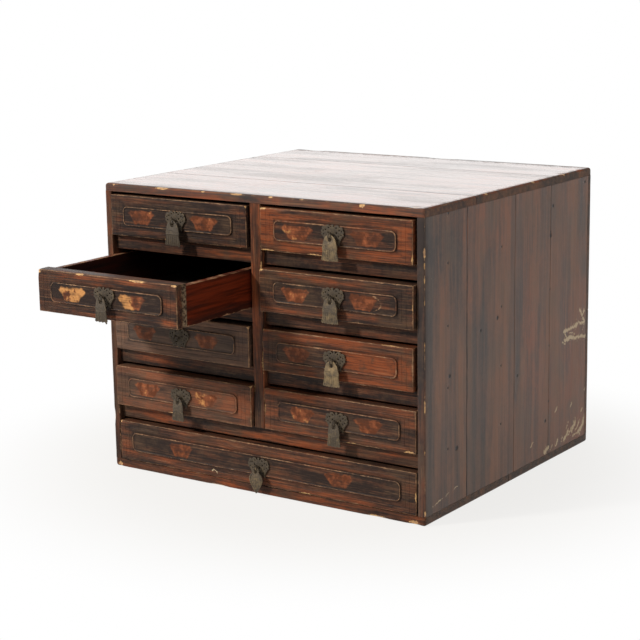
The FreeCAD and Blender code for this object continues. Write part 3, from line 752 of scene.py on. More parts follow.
@functools.cache
def cut_metal():
    """Tree that makes a pull: a pierced plate from its outline, wires along paths and small balls."""
    inputs = {
        "Geometry": "Geometry", "Thickness": 0.0012, "Place": "Vector",
        "Wire Sides": 10, "Material": "Material",
    }
    nodes, given, result = node_group("Cut Metal", "GeometryNodeTree", inputs, {"Geometry": "Geometry"})

    def chosen(geometry, mark):
        value = nodes.stored(mark)
        picked = nodes.get("FunctionNodeCompare", value, 0.0, operation="GREATER_THAN", data_type="FLOAT")
        node = nodes.add("GeometryNodeSeparateGeometry", geometry, picked)
        return value, node.outputs["Selection"], node.outputs["Inverted"]

    radius, holes, rest = chosen(given["Geometry"], "hole")
    wire, wires, rest = chosen(rest, "wire")
    ball, balls, outline = chosen(rest, "ball")
    circle = nodes.get("GeometryNodeCurvePrimitiveCircle", named={"Resolution": 18, "Radius": 1.0})
    rings = nodes.get("GeometryNodeInstanceOnPoints", holes, named={"Instance": circle, "Scale": radius})
    rings = nodes.get("GeometryNodeRealizeInstances", rings)
    outer = nodes.get("GeometryNodeMeshToCurve", outline)
    face = nodes.get("GeometryNodeFillCurve", nodes.join(outer, rings))
    raised = nodes.add("GeometryNodeExtrudeMesh", face,
                       named={"Offset Scale": given["Thickness"], "Individual": False})
    under = nodes.get("GeometryNodeFlipFaces", face)
    shell = nodes.join(raised.outputs[0], under)
    shell = nodes.get("GeometryNodeMergeByDistance", shell, named={"Distance": 1e-6})
    shell = nodes.get("GeometryNodeTransform", shell, named={
        "Translation": given["Place"], "Rotation": (math.pi / 2, 0.0, 0.0)})
    path = nodes.get("GeometryNodeMeshToCurve", wires)
    path = nodes.get("GeometryNodeSetCurveRadius", path, named={"Radius": wire})
    profile = nodes.get("GeometryNodeCurvePrimitiveCircle",
                        named={"Resolution": given["Wire Sides"], "Radius": 1.0})
    tube = nodes.add("GeometryNodeCurveToMesh", path, profile, named={"Fill Caps": True})
    if "Scale" in tube.inputs:
        nodes.link(wire, tube.inputs["Scale"])
    sphere = nodes.get("GeometryNodeMeshIcoSphere", named={"Radius": 1.0, "Subdivisions": 3})
    drops = nodes.get("GeometryNodeInstanceOnPoints", balls, named={"Instance": sphere, "Scale": ball})
    finish(nodes, nodes.join(drops, tube.outputs[0], shell), given["Material"], result)
    return nodes.tree


@functools.cache
def driven_nails():
    """Tree that sets a domed nail, turned and sized a little by chance, at each point."""
    inputs = {
        "Geometry": "Geometry", "Head Radius": 0.0014, "Shank Radius": 0.0008,
        "Length": 0.0178, "Seed": 4, "Material": "Material",
    }
    nodes, given, result = node_group("Driven Nails", "GeometryNodeTree", inputs, {"Geometry": "Geometry"})
    head = nodes.get("GeometryNodeMeshUVSphere",
                     named={"Segments": 12, "Rings": 6, "Radius": given["Head Radius"]})
    head = nodes.get("GeometryNodeTransform", head, named={"Scale": (1.0, 1.0, 0.2)})
    shank = nodes.get("GeometryNodeMeshCylinder", named={
        "Vertices": 8, "Radius": given["Shank Radius"], "Depth": given["Length"]})
    drop = nodes.get("ShaderNodeCombineXYZ", named={"Z": nodes.math("MULTIPLY", given["Length"], -0.5)})
    shank = nodes.get("GeometryNodeTransform", shank, named={"Translation": drop})
    turn = nodes.stored("turn", "FLOAT_VECTOR")
    size = nodes.add("FunctionNodeRandomValue", data_type="FLOAT", named={"Seed": given["Seed"]})
    size.inputs[2].default_value, size.inputs[3].default_value = 0.82, 1.0
    placed = nodes.get("GeometryNodeInstanceOnPoints", given["Geometry"], named={
        "Instance": nodes.join(head, shank), "Rotation": turn, "Scale": size.outputs[1]})
    finish(nodes, placed, given["Material"], result)
    return nodes.tree


# Meshes


def new_object(name, data):
    """New object at the origin."""
    made = bpy.data.objects.new(name, data)
    bpy.context.scene.collection.objects.link(made)
    return made


def grid_box(lines):
    """Closed box whose faces are divided at the given places along each axis: points and faces."""
    counts = [len(line) for line in lines]
    shell = np.ones(counts, bool)
    shell[1:-1, 1:-1, 1:-1] = False
    number = np.full(counts, -1)
    number[shell] = np.arange(shell.sum())
    points = np.stack(np.meshgrid(*lines, indexing="ij"), -1)[shell]
    faces = []
    for axis in range(3):
        for end in (0, -1):
            sheet = np.take(number, end, axis)
            corners = (sheet[:-1, :-1], sheet[1:, :-1], sheet[1:, 1:], sheet[:-1, 1:])
            quads = np.stack(corners, -1).reshape(-1, 4)
            faces.append(quads[:, ::-1] if (end == -1) == (axis == 1) else quads)
    return points, np.concatenate(faces)


def divisions(low, high, round_low, round_high, step, places=()):
    """Grid places along one axis: close together on the rounded edges and at the given places."""
    count = max(2, round((high - low - round_low - round_high) / step) + 1)
    regular = np.linspace(low + round_low, high - round_high, count)
    wanted = np.array([p for p in places if low + 0.05 < p < high - 0.05])
    if len(wanted):
        regular = regular[np.abs(regular[:, None] - wanted[None]).min(1) > 0.35]
    shares = np.array((0.0, 0.27, 0.58))
    values = np.sort(np.concatenate([regular, wanted, low + round_low * shares, high - round_high * shares]))
    kept = [values[0]]
    for value in values[1:]:
        if value - kept[-1] > 0.04:
            kept.append(value)
    kept[-1] = high
    return np.array(kept)


def round_off(points, low, high, round_low, round_high):
    """Sharp box's points moved onto a box with rounded edges, and the way out at each."""
    offset = points - np.clip(points, low + round_low, high - round_high)
    reach = np.maximum(np.where(offset < 0, round_low, round_high), 1e-6)
    share = np.abs(offset) / reach
    length = np.linalg.norm(share, axis=1, keepdims=True)
    scale = np.where(length > 0, share.max(1, keepdims=True) / np.maximum(length, 1e-9), 1.0)
    side = (points >= high - 1e-6).astype(float) - (points <= low + 1e-6)
    out = np.where(side != 0, side, np.sign(offset) * share)
    out /= np.linalg.norm(out, axis=1, keepdims=True)
    return points - offset + offset * scale, out


def edge_nearness(points, low, high, round_low, round_high, band):
    """One on the worn edges, falling to nothing a band away from them."""
    low_side = np.where(round_low > 0.3, points - low, 1e3)
    high_side = np.where(round_high > 0.3, high - points, 1e3)
    nearest = np.sort(np.minimum(low_side, high_side), axis=1)
    return np.clip(1 - nearest[:, 1] / band, 0, 1)


def board(low, high, round_low, round_high, step, along, seed, seams=None, pits=(), band=2.6,
          places=((), (), ())):
    """One board or a row of planks: points, faces, the way out and the marks its finish reads.

    Seams are the axis that the planks lie along and the places where they meet. Pits are a
    place on the surface and a radius."""
    low, high, round_low, round_high = (np.array(v, float) for v in (low, high, round_low, round_high))
    extra = [list(p) for p in places]
    if seams:
        axis, meets = seams
        for meet in meets:
            extra[axis] += [meet + shift for shift in (-SEAM_HALF_WIDTH, -0.2, 0.2, SEAM_HALF_WIDTH)]
    for place, radius in pits:
        for axis in range(3):
            if low[axis] + 1 < place[axis] < high[axis] - 1:
                extra[axis] += [place[axis] + radius * share
                                for share in (-1.3, -0.9, -0.45, 0, 0.45, 0.9, 1.3)]
    lines = [divisions(low[a], high[a], round_low[a], round_high[a], step[a], extra[a]) for a in range(3)]
    sharp, faces = grid_box(lines)
    points, out = round_off(sharp, low, high, round_low, round_high)
    chance = np.random.default_rng(seed)
    others = [axis for axis in range(3) if axis != along]
    grain = sharp[:, [along, *others]] * MM
    count = len(seams[1]) + 1 if seams else 1
    plank = np.searchsorted(np.array(seams[1]), sharp[:, seams[0]]) if seams else np.zeros(len(sharp), int)
    grain = grain + chance.uniform(-4, 4, (count, 3))[plank]
    tint = chance.uniform(-0.09, 0.09, count)[plank] if count > 1 else np.zeros(len(sharp))
    hollow = np.zeros(len(sharp))
    if seams:
        for meet in seams[1]:
            groove = np.clip(1 - np.abs(sharp[:, seams[0]] - meet) / SEAM_HALF_WIDTH, 0, 1)
            points = points - out * groove[:, None] * bpy.context.scene.chest_shapes.seam_depth / MM
            hollow = np.maximum(hollow, groove)
    for place, radius in pits:
        share = np.linalg.norm(sharp - np.array(place, float), axis=1) / radius
        pit = np.clip(1.3 - share, 0, 0.8) / 0.8
        points = points - out * (pit * PIT_DEPTH)[:, None]
        hollow = np.maximum(hollow, pit * 0.6)
    marks = {
        "grain": grain, "tint": tint, "hollow": hollow,
        "edge": edge_nearness(sharp, low, high, round_low, round_high, band),
    }
    return {"points": points, "faces": faces, "out": out, "sharp": sharp, "marks": marks}


def add_chips(part, chips, depth=0.9):
    """Marks and hollows out chips, each a place and the chip's length and height."""
    chip = part["marks"].setdefault("chip", np.zeros(len(part["sharp"])))
    for x, y, z, length, height in chips:
        reach = np.array((length, min(length, 4.0) if length > height else length, height), float)
        share = np.linalg.norm((part["sharp"] - (x, y, z)) / reach, axis=1)
        level = np.clip(1.25 - share, 0, 1)
        part["points"] -= part["out"] * (level ** 0.7 * depth * min(1, height / 3))[:, None]
        np.maximum(chip, level, out=chip)


def add_tint(part, tint, across=0):
    """Marks how red a board is, from its level and the places that differ, across X or Y and up."""
    level, places = tint
    mark = part["marks"]["tint"] + level
    for x, z, half_width, half_height, amount in places:
        sideways = (part["sharp"][:, across] - x) / half_width
        upwards = (part["sharp"][:, 2] - z) / half_height
        share = sideways ** 2 + upwards ** 2
        mark = mark + amount * np.exp(-1.4 * share ** 1.5)
    part["marks"]["tint"] = mark


def open_crack(part):
    """Dark ragged crack where the right side's first two planks have come apart."""
    y, z = part["sharp"][:, 1], part["sharp"][:, 2]
    course = CRACK_LINES[len(CRACK_LINES) // 2] + 0.7 * np.sin(z / 17.0) + 0.4 * np.sin(z / 6.3 + 1.0)
    width = 1.1 + 0.5 * np.sin(z / 29.0 + 2.0)
    dark = np.clip(1.3 - np.abs(y - course) / width, 0, 1)
    part["marks"]["hollow"] = np.maximum(part["marks"]["hollow"], dark)


def make_piece(name, parts, plain=False):
    """New object at the origin from parts in millimetres, with their marks as attributes.

    Plain is true for lacquered parts, which say where they have no ornament."""
    points = np.concatenate([part["points"] for part in parts]) * MM
    faces, start = [], 0
    for part in parts:
        faces += [tuple(int(i) + start for i in face) for face in part["faces"]]
        start += len(part["points"])
        if plain:
            part["marks"].setdefault("motif", np.full(len(part["points"]), -1.0))
    mesh = bpy.data.meshes.new(name)
    mesh.from_pydata(points.tolist(), [], faces)
    for label in sorted({label for part in parts for label in part["marks"]}):
        wide = label == "grain"
        blank = (3,) if wide else ()
        rows = [part["marks"].get(label, np.zeros((len(part["points"]), *blank))) for part in parts]
        attribute = mesh.attributes.new(label, "FLOAT_VECTOR" if wide else "FLOAT", "POINT")
        attribute.data.foreach_set("vector" if wide else "value",
                                   np.concatenate(rows).astype(np.float32).ravel())
    return new_object(name, mesh)


def run_tree(piece, tree, angle=32, bevel=None, **values):
    """Runs a Geometry Nodes tree on a piece, and a bevel if asked, and keeps the plain mesh."""
    modifier = piece.modifiers.new(tree.name, "NODES")
    modifier.node_group = tree
    for item in tree.interface.items_tree:
        if item.in_out == "INPUT" and item.name in values:
            modifier[item.identifier] = values[item.name]
    if bevel:
        softened = piece.modifiers.new("Soft Edges", "BEVEL")
        softened.width, softened.segments, softened.limit_method = bevel, 2, "ANGLE"
        softened.angle_limit = math.radians(38)
    piece.update_tag()
    bpy.context.view_layer.update()
    graph = bpy.context.evaluated_depsgraph_get()
    mesh = bpy.data.meshes.new_from_object(piece.evaluated_get(graph), preserve_all_data_layers=True,
                                           depsgraph=graph)
    piece.modifiers.clear()
    old, piece.data = piece.data, mesh
    bpy.data.meshes.remove(old)
    mesh.name = piece.name
    mesh.shade_smooth()
    mesh.set_sharp_from_angle(angle=math.radians(angle))
    return piece


def stands_for(piece, *nodes):
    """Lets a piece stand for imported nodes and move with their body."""
    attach(piece, BODY_OF[nodes[0]])
    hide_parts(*nodes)


def wear_boards(piece, material, seed, share=1.0):
    """Gives a piece made of boards its dents, waves and material."""
    shapes = bpy.context.scene.chest_shapes
    return run_tree(piece, worn_boards(), **{
        "Dent Depth": shapes.dent_depth * share, "Dent Length": shapes.dent_length,
        "Wave Depth": shapes.wave_depth, "Wave Length": shapes.wave_length,
        "Seed": float(seed), "Material": material})


def node_range(node):
    """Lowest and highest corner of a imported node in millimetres."""
    low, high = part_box(node)
    return np.array(low) / MM, np.array(high) / MM


def solid_ranges(node):
    """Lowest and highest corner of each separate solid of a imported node, in millimetres."""
    work = bmesh.new()
    work.from_mesh(frame["nodes"][node].data)
    bmesh.ops.remove_doubles(work, verts=work.verts, dist=1e-6)
    left, ranges = set(work.verts), []
    for first in work.verts:
        if first not in left:
            continue
        left.discard(first)
        found, waiting = [], [first]
        while waiting:
            vertex = waiting.pop()
            found.append(vertex.co[:])
            for edge in vertex.link_edges:
                other = edge.other_vert(vertex)
                if other in left:
                    left.discard(other)
                    waiting.append(other)
        found = np.array(found) / MM
        ranges.append((found.min(0), found.max(0)))
    work.free()
    return ranges


def outline_distance(places, outline):
    """Distance in millimetres from each place to a closed outline, positive inside."""
    corners = np.array(outline, float)
    following = np.roll(corners, -1, axis=0)
    best = np.full(len(places), 1e9)
    inside = np.zeros(len(places), bool)
    for (x0, z0), (x1, z1) in zip(corners, following):
        line, offset = np.array((x1 - x0, z1 - z0)), places - (x0, z0)
        share = np.clip(offset @ line / (line @ line), 0, 1)
        best = np.minimum(best, np.linalg.norm(offset - share[:, None] * line, axis=1))
        crosses = (places[:, 1] < z0) != (places[:, 1] < z1)
        at = x0 + (places[:, 1] - z0) * (x1 - x0) / ((z1 - z0) or 1e-9)
        inside ^= crosses & (places[:, 0] < at)
    return np.where(inside, best, -best)


def mirrored(half):
    """Whole outline from its right half, which starts and ends on the middle line or not."""
    left = [(-x, z) for x, z in reversed(half) if x > 1e-6]
    return [*half, *left]


# Panels of the drawer fronts

# Section of a panel's rim from its foot to its sunk field: distance inwards and height
RIM = [
    (0.0, -0.7), (0.0, 0.1), (0.05, 0.8), (0.22, 1.3), (0.55, 1.66), (0.95, 1.8), (1.35, 1.76), (1.75, 1.6),
    (2.0, 1.42), (2.15, 1.3), (2.5, 1.3), (3.6, 1.3), (5.0, 1.3), (PANEL_CORNER, 1.3),
]


def raised_panel(x_range, z_range, face, seed):
    """Raised panel with round corners, a bead along its rim and a sunk field."""
    corner = PANEL_CORNER
    xs = np.linspace(x_range[0] + corner, x_range[1] - corner,
                     round((x_range[1] - x_range[0] - 2 * corner) / 1.4) + 1)
    zs = np.linspace(z_range[0] + corner, z_range[1] - corner,
                     round((z_range[1] - z_range[0] - 2 * corner) / 1.2) + 1)
    turns = np.linspace(0, math.pi / 2, 8)[1:-1]
    rings = []
    for inset, height in RIM:
        reach = corner - inset
        ring = [(x, z_range[0] + inset) for x in xs]
        ring += [(xs[-1] + reach * math.sin(t), zs[0] - reach * math.cos(t)) for t in turns]
        ring += [(x_range[1] - inset, z) for z in zs]
        ring += [(xs[-1] + reach * math.cos(t), zs[-1] + reach * math.sin(t)) for t in turns]
        ring += [(x, z_range[1] - inset) for x in xs[::-1]]
        ring += [(xs[0] - reach * math.sin(t), zs[-1] + reach * math.cos(t)) for t in turns]
        ring += [(x_range[0] + inset, z) for z in zs[::-1]]
        ring += [(xs[0] - reach * math.cos(t), zs[0] - reach * math.sin(t)) for t in turns]
        rings.append([(x, face - height, z, inset) for x, z in ring])
    size = len(rings[0])
    faces = [tuple(reversed(range(size)))]
    for level in range(len(rings) - 1):
        for index in range(size):
            following = (index + 1) % size
            faces.append((level * size + index, level * size + following, (level + 1) * size + following,
                          (level + 1) * size + index))
    rows = [point for ring in rings for point in ring]
    start = len(rows)
    rows += [(x, face - RIM[-1][1], z, corner) for z in zs for x in xs]
    width = len(xs)
    for row in range(len(zs) - 1):
        for column in range(width - 1):
            first = start + row * width + column
            faces.append((first, first + 1, first + 1 + width, first + width))
    rows = np.array(rows)
    points, inset = rows[:, :3], rows[:, 3]
    chance = np.random.default_rng(seed)
    bead = np.exp(-((inset - 0.8) / 0.75) ** 2) * (points[:, 1] < face - 0.5)
    # Painted shade: the foot of the rim and the crease inside the bead are marked hollow, which darkens them
    foot = np.clip(1 - np.abs(inset - 2.3) / 0.7, 0, 1) * 0.55 + (points[:, 1] > face - 0.9) * 0.8
    marks = {
        "grain": points[:, [0, 1, 2]] * MM + chance.uniform(-4, 4, 3),
        "tint": np.zeros(len(points)), "edge": bead * 0.8, "hollow": np.clip(foot, 0, 1),
    }
    return {"points": points, "faces": faces, "sharp": points.copy(), "marks": marks}


def close_corners(piece):
    """Merges the points that meet in a panel's corners."""
    work = bmesh.new()
    work.from_mesh(piece.data)
    bmesh.ops.remove_doubles(work, verts=work.verts, dist=1e-7)
    work.to_mesh(piece.data)
    work.free()


def ornaments(drawer, spots, middle):
    """How deep each spot of a panel lies inside an ornament, and how golden it is there."""
    motif, gold = np.full(len(spots), -1.0), np.zeros(len(spots))
    for centre, width, *golden in MOTIFS[drawer]:
        local = (spots - (centre, middle - 0.3)) / (width / MOTIF_WIDTH, 1.0)
        distance = outline_distance(local, mirrored(MOTIF_HALF)) / 3
        motif = np.maximum(motif, np.clip(distance, -1, 1))
        here = np.interp(local[:, 0] + local[:, 1] * 0.35, (-4, 4), golden)
        gold = np.where(np.abs(local[:, 0]) < 26, here, gold)
    return motif, gold


def peeled_ring(spots, middle):
    """How close each spot of a panel lies to the right part of the pale ring."""
    _, x, half_width, half_height = PEELED_RING
    away = np.hypot((spots[:, 0] - x) / half_width, (spots[:, 1] - middle) / half_height)
    return np.clip(1 - np.abs(away - 1) / 0.16, 0, 1) * np.clip((spots[:, 0] - x - 6) / 10, 0, 1)


def drawer_front(drawer, seed):
    """Front board of a drawer with its incised lines, raised panel, ornaments and chips."""
    low, high = node_range(drawer + "_front")
    face = low[1] + PANEL_RISE
    low = np.array((low[0], face, low[2]))
    middle = (low[2] + high[2]) / 2
    panel_x = (low[0] + PANEL_MARGIN, high[0] - PANEL_MARGIN)
    panel_z = (middle - PANEL_HEIGHT / 2, middle + PANEL_HEIGHT / 2)
    shifts = (-LINE_WIDTH, -0.2, 0.2, LINE_WIDTH)
    inner, outer = ((panel_x[0] - away, panel_x[1] + away) for away in (LINE_BORDER, LINE_ENDS))
    levels = (panel_z[0] - LINE_BORDER, panel_z[1] + LINE_BORDER)
    places = (
        [*(x + s for x in (*inner, *outer) for s in shifts), panel_x[0] - 0.8, panel_x[1] + 0.8,
         panel_x[1] + 2.5],
        (), [*(z + s for z in levels for s in shifts), panel_z[0] - 0.8, panel_z[0] - 2.2, panel_z[1] + 0.8],
    )
    part = board(low, high, (1.0, 1.0, 1.0), (1.0, 0.25, 1.0), (2.0, 3.0, 2.0), 0, seed, band=1.9,
                 places=places)
    sharp = part["sharp"]
    front = part["out"][:, 1] < -0.9
    x, z = sharp[:, 0], sharp[:, 2]
    centre_x, half_x = sum(inner) / 2, (inner[1] - inner[0]) / 2
    away = np.abs(np.maximum(np.abs(x - centre_x) - half_x, np.abs(z - middle) - (levels[1] - middle)))
    ends = np.minimum(np.abs(x - outer[0]), np.abs(x - outer[1]))
    line = np.clip(1 - np.minimum(away, ends) / LINE_WIDTH, 0, 1) * front
    part["points"] -= part["out"] * (line * LINE_DEPTH)[:, None]
    # Painted shade: the board right around the panel's foot is marked hollow and so darkened; the incised
    # lines get a little of it
    foot_x = np.maximum(panel_x[0] - x, x - panel_x[1])
    foot_z = np.maximum(panel_z[0] - z, z - panel_z[1])
    foot = np.clip(1 - np.maximum(foot_x, foot_z) / 1.6, 0, 1) * front * (np.maximum(foot_x, foot_z) > -0.9)
    part["marks"]["hollow"] = np.clip(line * 0.3 + foot * 0.85, 0, 1)
    part["marks"]["raw"] = (sharp[:, 1] > face + 8.3) * (np.abs(part["out"][:, 0]) > 0.5) * 1.0
    add_chips(part, [(cx, face, cz, length, height) for cx, cz, length, height in FRONT_CHIPS[drawer]], 0.7)
    panel = raised_panel(panel_x, panel_z, face, seed + 50)
    spots = panel["points"][:, [0, 2]]
    motif, gold = ornaments(drawer, spots, middle)
    field = panel["marks"]["edge"] < 0.3
    panel["marks"]["motif"], panel["marks"]["gold"] = np.where(field, motif, -1), gold
    if drawer == PEELED_RING[0]:
        panel["marks"]["edge"] = np.maximum(panel["marks"]["edge"], peeled_ring(spots, middle) * 0.8)
    panel["marks"]["field"] = field * 1.0
    for some in (part, panel):
        add_tint(some, FRONT_TINTS[drawer])
        # Film and painted sheen on the front, as listed for each drawer
        some["marks"]["film"] = np.full(len(some["points"]), FRONT_FILM_AND_SHEEN.get(drawer, 0.0))
    piece = make_piece(drawer + "_lacquered_front", [part, panel], plain=True)
    close_corners(piece)
    wear_boards(piece, lacquered_wood("Worn Lacquer"), seed)
    stands_for(piece, drawer + "_front")


# Operators, one for each piece or group of like pieces


class CHEST_OT_stage(bpy.types.Operator):
    """Floor, light and camera"""

    bl_idname = "chest.stage"
    bl_label = "Stage"

    def execute(self, context):
        stage = context.scene.chest_stage
        set_camera(stage)
        make_floor(stage)
        set_world(stage)
        for name, (power, *lamp) in LAMPS.items():
            area_light(name, getattr(stage, power), *lamp)
        return {"FINISHED"}


def set_camera(stage):
    """Camera at the photograph's place."""
    data = bpy.data.cameras.new("Camera")
    data.lens, data.sensor_width, data.clip_end = stage.lens, 36.0, 100.0
    camera = new_object("Camera", data)
    look = Euler((math.pi / 2 - stage.elevation, 0.0, stage.azimuth)).to_matrix()
    turned = look @ Matrix.Rotation(stage.roll, 3, "Z")
    camera.matrix_world = Matrix.Translation(stage.place) @ turned.to_4x4()
    bpy.context.scene.camera = camera


def seen_directly(nodes):
    """One for rays from the camera and for what shows in reflections."""
    path = nodes.add("ShaderNodeLightPath").outputs
    return joined(nodes, [path[f"Is {kind} Ray"] for kind in ("Camera", "Glossy", "Transmission")])


def make_floor(stage):
    """Pale floor that keeps the chest's shadow, adds a painted soft shade near the chest, and fades into the
    background.
    """
    mesh = bpy.data.meshes.new("Floor")
    corners = [(x * FLOOR_HALF, y * FLOOR_HALF, 0) for x, y in ((-1, -1), (1, -1), (1, 1), (-1, 1))]
    mesh.from_pydata(corners, [], [(0, 1, 2, 3)])
    floor = new_object("Floor", mesh)
    material, nodes, shader, place = material_nodes("Pale Floor")
    mottle = nodes.noise(place, 3.0, 3.0)
    colour = nodes.mix(mottle, tuple(stage.floor), tuple(c * 0.985 for c in stage.floor))
    nodes.link(colour, shader.inputs["Base Color"])
    shader.inputs["Roughness"].default_value = 0.75
    shader.inputs["Specular IOR Level"].default_value = 0.1
    seen = seen_directly(nodes)
    away = nodes.smooth(nodes.measure("DISTANCE", place, (0.0, -0.02, 0.0)), 0.22, 0.50)
    # Painted shade: the floor's glow is a little greyer near the chest than far from it
    lit = nodes.mix(away, (0.93, 0.92, 0.902), tuple(stage.backdrop))
    glow = nodes.get("ShaderNodeEmission", lit, 1.0)
    share = nodes.math("MULTIPLY_ADD", away, 0.13, 0.87)
    mixed = nodes.get("ShaderNodeMixShader", nodes.math("MULTIPLY", seen, share), shader.outputs[0], glow)
    nodes.link(mixed, nodes.tree.nodes["Material Output"].inputs[0])
    mesh.materials.append(material)


def set_world(stage):
    """Even light from all around, and a pale background where it is seen."""
    world = bpy.data.worlds.new("Studio")
    world.use_nodes = True
    bpy.context.scene.world = world
    nodes = Nodes(world.node_tree)
    seen = seen_directly(nodes)
    background = world.node_tree.nodes["Background"]
    nodes.link(nodes.mix(seen, (1.0, 0.99, 0.975), tuple(stage.backdrop)), background.inputs["Color"])
    strength = nodes.math("MULTIPLY_ADD", seen, 1.0 - stage.fill, stage.fill)
    nodes.link(strength, background.inputs["Strength"])


def area_light(name, power, place, target, size, colour):
    """Soft light panel that points at a target."""
    data = bpy.data.lights.new(name, "AREA")
    data.shape, data.size, data.size_y, data.energy = "RECTANGLE", size[0], size[1], power
    data.color = colour
    lamp = new_object(name, data)
    aim = (Vector(target) - Vector(place)).to_track_quat("-Z", "Y").to_matrix()
    lamp.matrix_world = Matrix.Translation(place) @ aim.to_4x4()
    lamp.visible_camera = False


class CHEST_OT_case_boards(bpy.types.Operator):
    """Top, bottom, sides, back and the divider between the columns"""

    bl_idname = "chest.case_boards"
    bl_label = "Case Boards"

    def execute(self, context):
        nails = nail_places()
        looks = {
            "top_board": lacquered_wood("Polished Lacquer", 0.006, 0.16, polished=True),
            "right_side_board": lacquered_wood("Hazy Side Lacquer", 0.005, 0.16, 1.3, side_marks=True),
            "left_side_board": lacquered_wood("Long Grain Lacquer", 0.0045, 0.16, 1.2),
            "back_board": lacquered_wood("Long Grain Lacquer", 0.0045, 0.16, 1.2),
        }
        usual = lacquered_wood("Worn Lacquer")
        case_right = CAD_BOX[1][0] / MM
        for seed, (node, (round_low, round_high, step, along, axis, meets)) in enumerate(CASE_BOARDS.items()):
            low, high = node_range(node)
            pits = [(place, NAIL_PIT) for place, out in nails if surface_holds(place, low, high)]
            if node == "right_side_board":
                pits += [((high[0], y, z), radius) for y, z, radius in SIDE_PITS if z < high[2] - 2]
            part = board(low, high, round_low, round_high, step, along, seed,
                         (axis, meets) if meets else None, pits,
                         places=((), CRACK_LINES, ()) if node == "right_side_board" else ((), (), ()))
            add_tint(part, CASE_TINTS[node])
            if node == "right_side_board":
                add_tint(part, (0.0, SIDE_TINTS), 1)
                open_crack(part)
            marks, sharp, out = part["marks"], part["sharp"], part["out"]
            marks["edge"] *= 0.62
            # Painted shade: the outer faces carry less of the film and its painted sheen towards the top and
            # the front, so they read darker there
            faded = np.clip((sharp[:, 2] - 170) / 150, 0, 1) * np.clip((130 - sharp[:, 1]) / 260, 0, 1)
            outer = (out[:, 0] > 0.9) * (sharp[:, 0] > case_right - OUTER_SKIN)
            unseen = (out[:, 0] < -0.9) * (sharp[:, 0] < OUTER_SKIN - case_right) + (out[:, 1] > 0.9)
            marks["film"] = outer * (1.0 - 0.5 * faded) + unseen * 0.6
            if node in ("top_board", "bottom_board"):
                marks["tint"] = marks["tint"] - 0.2 * outer
            if node == "top_board":
                rim = np.minimum(sharp[:, 0] - low[0], np.min((high - sharp)[:, :2] * (1.0, 0.4), axis=1))
                marks["polish"] = (out[:, 2] > 0.96) * np.clip(rim / POLISH_RIM, 0, 1)
                marks["hollow"] *= 0.4
            add_chips(part, CHIPS.get(node, []))
            piece = make_piece(node + "_lacquered", [part], plain=True)
            wear_boards(piece, looks.get(node, usual), seed)
            stands_for(piece, node)
        return {"FINISHED"}


def surface_holds(place, low, high):
    """True where a nail's place lies on the surface of a board."""
    place = np.array(place)
    inside = np.all((place > low - 0.5) & (place < high + 0.5))
    return bool(inside and np.min(np.abs(np.concatenate([place - low, high - place]))) < 0.5)


class CHEST_OT_rails(bpy.types.Operator):
    """Rails and dust boards between the rows of drawers"""

    bl_idname = "chest.rails"
    bl_label = "Rails and Dust Boards"

    def execute(self, context):
        for seed, node in enumerate(RAILS, 20):
            parts = []
            for index, (low, high) in enumerate(solid_ranges(node)):
                part = board(low, high, (0.2, 0.5, 0.3), (0.2, 0.2, 0.5), (2.6, 6.0, 2.4), 0,
                             seed * 10 + index, band=1.4)
                add_tint(part, CASE_TINTS[node])
                add_chips(part, CHIPS.get(node, []), 0.4)
                parts.append(part)
            piece = make_piece(node + "_lacquered", parts, plain=True)
            wear_boards(piece, lacquered_wood("Worn Lacquer"), seed)
            stands_for(piece, node)
        inner = inner_wood()
        for seed, node in enumerate(DUST_BOARDS, 30):
            parts = [board(low, high, (0.2, 0.2, 0.2), (0.2, 0.2, 0.2), (12.0, 12.0, 6.0), 0,
                           seed * 10 + index)
                     for index, (low, high) in enumerate(solid_ranges(node))]
            piece = make_piece(node + "_wood", parts)
            wear_boards(piece, inner, seed)
            stands_for(piece, node)
        return {"FINISHED"}


def inner_wood():
    """Dry wood, nearly black."""
    return plain_wood("Inner Wood", palette().inner, 0.5, 0.75, 0.05)


def drawer_wood():
    """Red-brown varnished wood of the drawers' sides and backs."""
    return plain_wood("Varnished Drawer Wood", palette().varnish, 0.35, 0.42, 0.36)


class CHEST_OT_drawer_fronts(bpy.types.Operator):
    """Lacquered drawer fronts with raised panels and faded ornaments"""

    bl_idname = "chest.drawer_fronts"
    bl_label = "Drawer Fronts"

    def execute(self, context):
        for seed, drawer in enumerate(DRAWERS, 100):
            drawer_front(drawer, seed)
        return {"FINISHED"}


